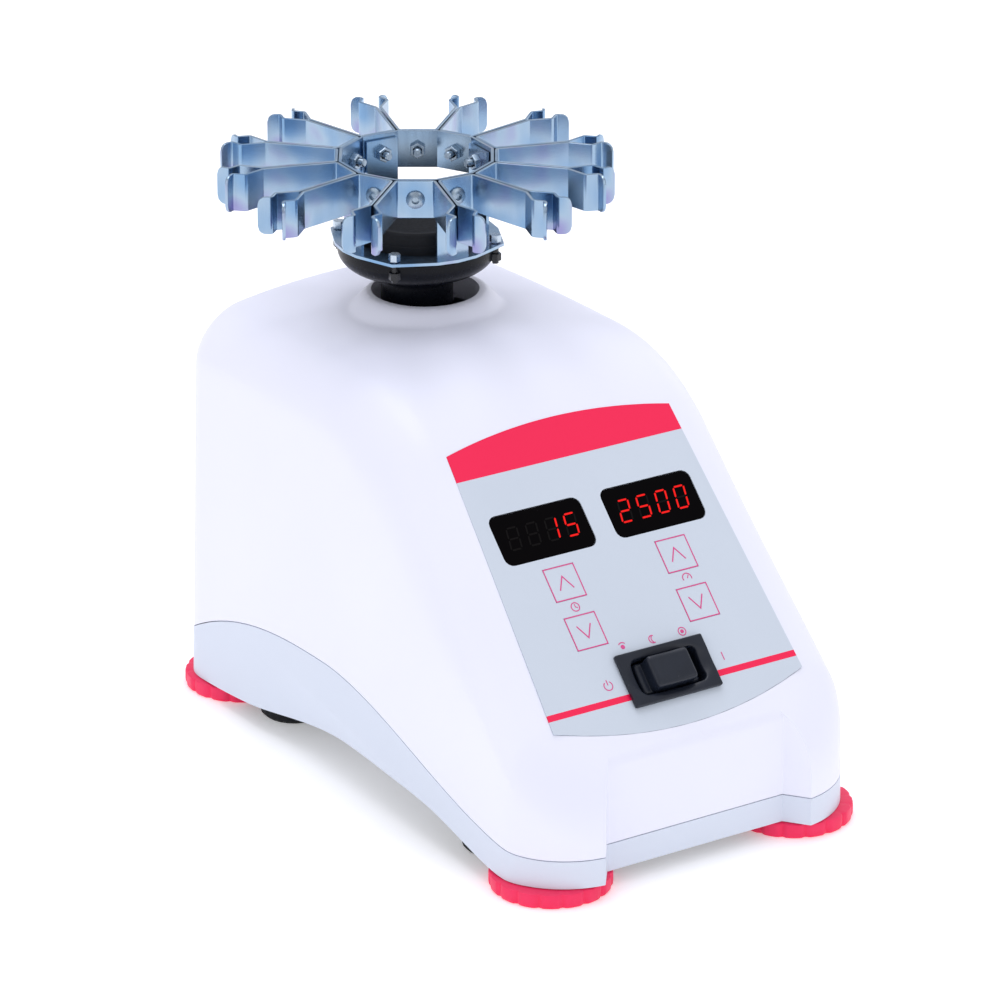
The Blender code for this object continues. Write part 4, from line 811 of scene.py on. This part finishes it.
def strip(line, thick, low, high, tip_radius, edge=0.00014):
    """Bent sheet strip along a line in plan, with rounded corners at both ends and eased edges."""
    run = [0.0]
    for first, second in zip(line, line[1:]):
        run.append(run[-1] + (second - first).length)
    bm = bmesh.new()
    rows = []
    middle = (low + high) / 2
    for k, point in enumerate(line):
        ahead = (line[min(k + 1, len(line) - 1)] - line[max(k - 1, 0)]).normalized()
        side = Vector((-ahead.y, ahead.x))
        from_end = min(run[k], run[-1] - run[k])
        lost = 0.0
        if from_end < tip_radius:
            lost = tip_radius - math.sqrt(max(0.0, tip_radius ** 2 - (tip_radius - from_end) ** 2))
        half = (high - low) / 2 - lost
        ring = [(thick / 2, half - edge), (thick / 2 - edge, half), (edge - thick / 2, half),
                (-thick / 2, half - edge), (-thick / 2, edge - half), (edge - thick / 2, -half),
                (thick / 2 - edge, -half), (thick / 2, edge - half)]
        rows.append([bm.verts.new((point.x + side.x * n, point.y + side.y * n, middle + z))
                     for n, z in ring])
    for first, second in zip(rows, rows[1:]):
        for k in range(8):
            bm.faces.new((first[k], first[(k + 1) % 8], second[(k + 1) % 8], second[k]))
    bm.faces.new(rows[0])
    bm.faces.new(rows[-1])
    bmesh.ops.recalc_face_normals(bm, faces=bm.faces)
    return bm


along = Vector((math.cos(FACET / 2), -math.sin(FACET / 2)))
inwards = Vector((math.sin(FACET / 2), math.cos(FACET / 2)))
arm = [(0.0475, 0.00025), (0.0538, 0.0040), (0.0573, 0.0021), (0.0599, 0.0052)]
base_x = APOTHEM + PLAY + SHEET / 2
right = [along * r + inwards * (o + (SHEET / 2 if k < 1 else SHEET * 0.52)) for k, (r, o) in enumerate(arm)]
root_y = right[0].y + (base_x - right[0].x) * math.tan(-FACET / 2)
left = [Vector((p.x, -p.y)) for p in right[::-1]]
whole_line = left + [Vector((base_x, -root_y)), Vector((base_x, root_y))] + right
arm_line = bent_line([tuple(p) for p in whole_line], BEND_INSIDE)
bracket_mesh = None
for number in range(12):
    if bracket_mesh is None:
        bm = strip(spaced(arm_line, 0.0004), SHEET, RING_LOW, RING_HIGH, TIP_RADIUS)
        bracket = put("spring_bracket_01", bm, 40)
        bracket_mesh = bracket.data
        bracket_mesh.materials.append(zinc.made)
    else:
        bracket = bpy.data.objects.new(f"spring_bracket_{number + 1:02d}", bracket_mesh)
        bpy.context.scene.collection.objects.link(bracket)
    bracket.matrix_world = facet_frame(number)
    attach(bracket, "head")
    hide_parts(f"clip_bracket_{number + 1:02d}")


bright = Finish("bright_plated_screw", 0.2, 1.0)
bright.set(Base_Color=bright.mix(bright.noise(0.002), srgb(0.52, 0.59, 0.66), srgb(0.68, 0.74, 0.79)),
           Roughness=0.20 + 0.16 * bright.noise(0.0008))
two_tone = Finish("bright_head_black_nut", 0.2)
upright = two_tone.node("ShaderNodeSeparateXYZ", {}, {"Vector": two_tone.place()}, 2)
head_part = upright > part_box("carousel_deck")[0].z
two_tone.set(Base_Color=two_tone.mix(head_part, srgb(0.045, 0.055, 0.085), srgb(0.74, 0.79, 0.84)),
             Metallic=head_part, Roughness=0.20 + 0.14 * two_tone.noise(0.0008))
dress(two_tone, "deck_screw_1", "deck_screw_2", "deck_screw_3", "deck_screw_4")
DOME_RADIUS = 0.0028
SOCKET_RADIUS = 0.0010
THREAD_RADIUS = 0.0013
HAIRLINE = 0.00006
outside = APOTHEM + PLAY + SHEET + HAIRLINE
for number in range(12):
    inside = APOTHEM - SHEET - HAIRLINE - (SHEET + PLAY if number in LEGS else 0.0)
    across = Matrix.Translation((0, 0, (RING_LOW + RING_HIGH) / 2)) @ Matrix.Rotation(math.pi / 2, 4, "Y")
    dome = [(0.0, outside), (DOME_RADIUS, outside), (DOME_RADIUS, outside + 0.0003)]
    dome += [(DOME_RADIUS * math.cos(a), outside + 0.0003 + 0.0009 * math.sin(a)) for a in (0.3, 0.6, 0.9)]
    dome += [(0.0011, outside + 0.0011), (SOCKET_RADIUS, outside + 0.0009),
             (SOCKET_RADIUS, outside + 0.0003), (0.0, outside + 0.0003)]
    shank = [(0.0, inside - 0.0042), (0.0010, inside - 0.0042), (THREAD_RADIUS, inside - 0.0038),
             (THREAD_RADIUS, outside + 0.0002), (0.0, outside + 0.0002)]
    nut = [(0.0016, inside - 0.0020), (0.0023, inside - 0.0020), (0.0025, inside - 0.0017), (0.0025, inside),
           (0.0016, inside), (0.0016, inside - 0.0020)]
    solids = [turned(dome, 24, across), turned(shank, 16, across), turned(nut, 6, across)]
    screw = put(f"bracket_screw_{number + 1:02d}", gathered(solids), 30)
    screw.data.materials.append(bright.made)
    screw.matrix_world = facet_frame(number)
    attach(screw, "head")

# ---------------------------------------------------------------- control panel
# A satin polycarbonate film lies in a shallow seat on the slope. It is printed with a red band, a red rule,
# magenta key outlines and small signs. A flat spot of film inside each outline is a key.
film = Finish("printed_panel_film", 0.35, Specular_IOR_Level=0.45)
y_here = film.node("ShaderNodeSeparateXYZ", {}, {"Vector": film.place()}, 1)
z_here = film.node("ShaderNodeSeparateXYZ", {}, {"Vector": film.place()}, 2)
down_slope = (DATUM.y - y_here) * math.sqrt(0.5) + (DATUM.z - z_here) * math.sqrt(0.5)
band = down_slope < 0.0
RULE_TOP_S = 0.0755
RULE_FOOT_S = 0.0775
rule = (down_slope > RULE_TOP_S) * (down_slope < RULE_FOOT_S)
ground = film.mix(film.noise(0.03, 1.0), srgb(0.795, 0.830, 0.875), srgb(0.815, 0.848, 0.893))
printed = film.mix((band + rule).clamped(), ground, srgb(0.970, 0.080, 0.310))
film.set(Base_Color=printed, Roughness=0.34 + 0.08 * film.noise(0.0012))
film.relief(film.noise(0.0005), 0.00001, 0.4)
dress(film, "panel_film", "key_left_up", "key_left_down", "key_right_up", "key_right_down")
ink = Finish("magenta_ink", 0.4)
ink.set(Base_Color=ink.mix(ink.noise(0.004), srgb(0.85, 0.27, 0.53), srgb(0.88, 0.33, 0.58)),
        Roughness=0.36 + 0.08 * ink.noise(0.001))
INK_HEIGHT = 0.00004
INK_LIFT = 0.00002
SIGN_STROKE = 0.0003
HAND_STROKE = 0.00028


def inked(name, bms, finish=None, body="root"):
    """Printed marks: thin raised shapes that ride on one body."""
    marks = put(name, gathered(bms), 30)
    marks.data.materials.append((finish or ink).made)
    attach(marks, body)
    return marks


def outline_mark(outer, inner, place, thick=INK_HEIGHT, lift=INK_LIFT):
    """A flat ring between two equal outlines."""
    bm = bmesh.new()
    rows = [[bm.verts.new((x, y, z)) for x, y in loop] for loop, z in
            ((outer, lift), (inner, lift), (inner, lift + thick), (outer, lift + thick))]
    for a, b in zip(rows, rows[1:] + rows[:1]):
        for k in range(len(outer)):
            after = (k + 1) % len(outer)
            bm.faces.new((a[k], a[after], b[after], b[k]))
    bmesh.ops.recalc_face_normals(bm, faces=bm.faces)
    bm.transform(place)
    return bm


def stroke(points, width, place, thick=INK_HEIGHT, lift=INK_LIFT):
    """A drawn line of even width through points on the slope."""
    line = [Vector(p) for p in points]
    sides = [[], []]
    for k, point in enumerate(line):
        into = (point - line[k - 1]).normalized() if k else (line[1] - point).normalized()
        out = (line[k + 1] - point).normalized() if k < len(line) - 1 else into
        mean = (Vector((-into.y, into.x)) + Vector((-out.y, out.x))).normalized()
        reach = width / 2 / max(0.3, mean.dot(Vector((-into.y, into.x))))
        sides[0].append(tuple(point + mean * reach))
        sides[1].append(tuple(point - mean * reach))
    return prism(sides[0] + sides[1][::-1], lift, lift + thick, place)


def arc(radius, start, end, count=16, centre=(0.0, 0.0)):
    """Points on an arc, angles in degrees."""
    angles = [math.radians(start + (end - start) * k / count) for k in range(count + 1)]
    return [(centre[0] + radius * math.cos(angle), centre[1] + radius * math.sin(angle)) for angle in angles]


def dot(radius, place):
    """A printed dot."""
    return prism(ring_points(radius, 20), INK_LIFT, INK_LIFT + INK_HEIGHT, place)


for side, hand in ((-1, "left"), (1, "right")):
    for s, sense in ((KEY_UP_S, "up"), (KEY_DOWN_S, "down")):
        place = on_slope(s, 0, side * KEY_X)
        border = outline_mark(rounded(0.0108, 0.0108, 0.0003, 2), rounded(0.0101, 0.0101, 0.0002, 2), place)
        inked(f"key_outline_{hand}_{sense}", [border])
        tip = 0.0021 if sense == "up" else -0.0021
        chevron = stroke([(-0.0024, -tip), (0.0, tip), (0.0024, -tip)], 0.00038, place)
        inked(f"key_chevron_{hand}_{sense}", [chevron], body=f"key_{hand}_{sense}")
clock = on_slope(0.0457, 0, -KEY_X)
gauge = on_slope(0.0457, 0, KEY_X)
inked("clock_sign", [outline_mark(ring_points(0.0015, 32), ring_points(0.0012, 32), clock),
                     stroke([(0.0, 0.0009), (0.0, 0.0), (0.0007, -0.0004)], HAND_STROKE, clock)])
inked("speed_sign", [stroke(arc(0.0015, -20, 200), SIGN_STROKE, gauge),
                     stroke([(0.0, -0.0001), (0.0008, 0.0009)], HAND_STROKE, gauge)])
touch, standby, run = [on_slope(0.0612, 0, x) for x in (-0.0105, 0.0, 0.0105)]
inked("touch_sign", [dot(0.0007, touch), stroke(arc(0.0014, 40, 140), SIGN_STROKE, touch)])
inked("standby_sign", [stroke(arc(0.0012, 60, 300), SIGN_STROKE, standby),
                       stroke(arc(0.0013, 130, 230, 12, (0.0009, 0.0)), SIGN_STROKE, standby)])
inked("run_sign", [outline_mark(ring_points(0.0014, 28), ring_points(0.0011, 28), run), dot(0.0006, run)])
power = on_slope(0.0715, 0, -0.0205)
inked("power_sign", [stroke(arc(0.0014, 125, 415, 24), SIGN_STROKE, power),
                     stroke([(0.0, 0.0002), (0.0, 0.0019)], SIGN_STROKE, power)])
inked("on_sign", [stroke([(0.0, -0.0013), (0.0, 0.0013)], SIGN_STROKE, on_slope(0.0717, 0, 0.0200))])

# ---------------------------------------------------------------- displays
# Two smoked windows are flush with the film. Each shows a row of four slanted seven-segment numerals: the left
# window has two lit and the right one all four.
glass = Finish("smoked_red_window", 0.08, Specular_IOR_Level=0.04)
glass.set(Base_Color=glass.mix(glass.noise(0.01), srgb(0.014, 0.010, 0.014), srgb(0.020, 0.013, 0.018)),
          Roughness=0.07 + 0.05 * glass.noise(0.003))
dress(glass, "display_left", "display_right")
glow = Finish("lit_segment", 0.4, Emission_Strength=1.0, Specular_IOR_Level=0.1)
glow.set(Base_Color=srgb(0.25, 0.02, 0.02),
         Emission_Color=glow.mix(glow.noise(0.002), (0.90, 0.006, 0.006, 1.0), (1.0, 0.016, 0.012, 1.0)))
dark = Finish("unlit_segment", 0.4, Specular_IOR_Level=0.1)
dark.set(Base_Color=dark.mix(dark.noise(0.002), srgb(0.022, 0.011, 0.014), srgb(0.028, 0.013, 0.016)))
SEGMENTS = {"a": ((-1, 2), (1, 2)), "b": ((1, 2), (1, 0)), "c": ((1, 0), (1, -2)), "d": ((-1, -2), (1, -2)),
            "e": ((-1, 0), (-1, -2)), "f": ((-1, 2), (-1, 0)), "g": ((-1, 0), (1, 0))}
NUMERAL_STEP = 0.0067
SLANT = 0.16
SHAPES = {"0": "abcdef", "1": "bc", "2": "abged", "5": "afgcd", " ": ""}


def segment(ends, place, half_width=0.00028, lift=0.00003):
    """One pointed segment of a numeral."""
    first, last = (Vector((x * 0.0018, y * 0.00172)) for x, y in ends)
    ahead = (last - first).normalized()
    side = Vector((-ahead.y, ahead.x)) * half_width
    first += ahead * 0.00022
    last -= ahead * 0.00022
    points = [first, first + ahead * half_width + side, last - ahead * half_width + side, last,
              last - ahead * half_width - side, first + ahead * half_width - side]
    slanted = [(p.x + SLANT * p.y, p.y) for p in points]
    return prism(slanted, lift, lift + 0.00004, place)


for side, hand, reading in ((-1, "left", "  15"), (1, "right", "2500")):
    on, off = [], []
    for spot, numeral in enumerate(reading):
        place = on_slope(DISPLAY_S, 0, side * DISPLAY_X + (spot - 1.5) * NUMERAL_STEP)
        for letter, ends in SEGMENTS.items():
            (on if letter in SHAPES[numeral] else off).append(segment(ends, place))
    inked(f"lit_numerals_{hand}", on, glow)
    inked(f"unlit_numerals_{hand}", off, dark)

# ---------------------------------------------------------------- rocker switch
# A snap-in switch moulded in black nylon, with a raised bezel and a fine texture. Its dished paddle tilts on
# a pin inside the bezel's well.
switch = Finish("black_switch_nylon", 0.35, Specular_IOR_Level=0.4)
switch.set(Base_Color=switch.mix(switch.noise(0.006), srgb(0.070, 0.090, 0.135), srgb(0.110, 0.135, 0.185)),
           Roughness=0.28 + 0.18 * switch.noise(0.0009))
switch.relief(switch.noise(0.0005), 0.00002, 0.6)
PIN_DROP = 0.0018


def block(x, y, z, size, centre, radius):
    """Distance from a block whose edges are all rounded."""
    apart = [np.abs(value - middle) - extent / 2 + radius
             for value, extent, middle in zip((x, y, z), size, centre)]
    outside = np.sqrt(sum(np.maximum(gap, 0.0) ** 2 for gap in apart))
    return outside + np.minimum(np.maximum(np.maximum(apart[0], apart[1]), apart[2]), 0.0) - radius


def bezel_form(x, y, z):
    """Raised frame with a shallow dish towards its ends, a well for the paddle and a body behind it."""
    frame_top = block(x, y, z, (0.0306, 0.0168, 0.0034), (0, 0, 0.0), 0.0005)
    frame_top = np.maximum(frame_top, 0.0003 - z)
    behind = block(x, y, z, (0.0275, 0.0138, 0.0140), (0, 0, -0.0061), 0.0006)
    dish = (np.sqrt((x / 0.0168) ** 2 + (y / 0.0084) ** 2 + ((z - 0.0031) / 0.0032) ** 2) - 1) * 0.0032
    well = block(x, y, z, (0.0226, 0.0112, 0.0200), (0, 0, 0.0005), 0.0020)
    whole = np.minimum(frame_top, behind)
    return soft_max(soft_max(whole, -dish, 0.0005), -well, 0.0005)


def paddle_form(x, y, z):
    """Paddle about its pin: a raised dished block in the middle of a wider rounded base."""
    base = block(x, y, z, (0.0196, 0.0104, 0.0052), (0, 0, -0.0010), 0.0012)
    raised = block(x, y, z, (0.0150, 0.0100, 0.0100), (0, 0, 0.0016), 0.0016)
    raised = soft_max(raised, (np.abs(x) - 0.0092 + z * 0.36) * 0.94, 0.0010)
    dish = 0.0290 - np.hypot(x, z - 0.0349)
    return soft_max(np.minimum(base, soft_max(raised, dish, 0.0012)), np.abs(y) - 0.0052, 0.0004)


def moved(skin, name, place):
    """A mesh object of a skin made in the panel's own frame."""
    mesh = bpy.data.meshes.new(name)
    mesh.from_pydata(skin[0].tolist(), [], skin[1].tolist())
    mesh.transform(place)
    mesh.shade_smooth()
    made = bpy.data.objects.new(name, mesh)
    bpy.context.scene.collection.objects.link(made)
    made.data.materials.append(switch.made)
    return made


fine = 0.00025
bezel_skin = skinned(bezel_form, (-0.0160, -0.0092, -0.0140), (0.0160, 0.0092, 0.0026), fine)
bezel = moved(bezel_skin, "switch_bezel", on_slope(SWITCH_S))
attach(bezel, "root")
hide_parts("switch_body")
paddle_skin = skinned(paddle_form, (-0.0106, -0.0060, -0.0044), (0.0106, 0.0060, 0.0072), fine)
paddle = moved(paddle_skin, "switch_paddle", on_slope(SWITCH_S, -PIN_DROP))
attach(paddle, "rocker")
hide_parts("rocker")

# ---------------------------------------------------------------- mains inlet
# A black nylon appliance inlet is snapped into the rear wall. Three plated blades stand in its socket, ready
# for the connector of a mains lead.
dress(switch, "power_inlet")
blades = []
BLADE_SIZE = (0.0020, 0.0110, 0.0040)
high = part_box("power_inlet")[1]
for x, z in ((-0.0070, -0.0020), (0.0, 0.0020), (0.0070, -0.0020)):
    blade = bmesh.new()
    bmesh.ops.create_cube(blade, size=1.0)
    bmesh.ops.scale(blade, vec=BLADE_SIZE, verts=blade.verts)
    bmesh.ops.bevel(blade, geom=list(blade.edges), offset=0.0004, segments=2, affect="EDGES")
    bmesh.ops.translate(blade, vec=(INLET.x + x, high.y - 0.0086, INLET.z + z), verts=blade.verts)
    blades.append(blade)
pins = put("inlet_blades", gathered(blades), 30)
pins.data.materials.append(bright.made)
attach(pins, "root")
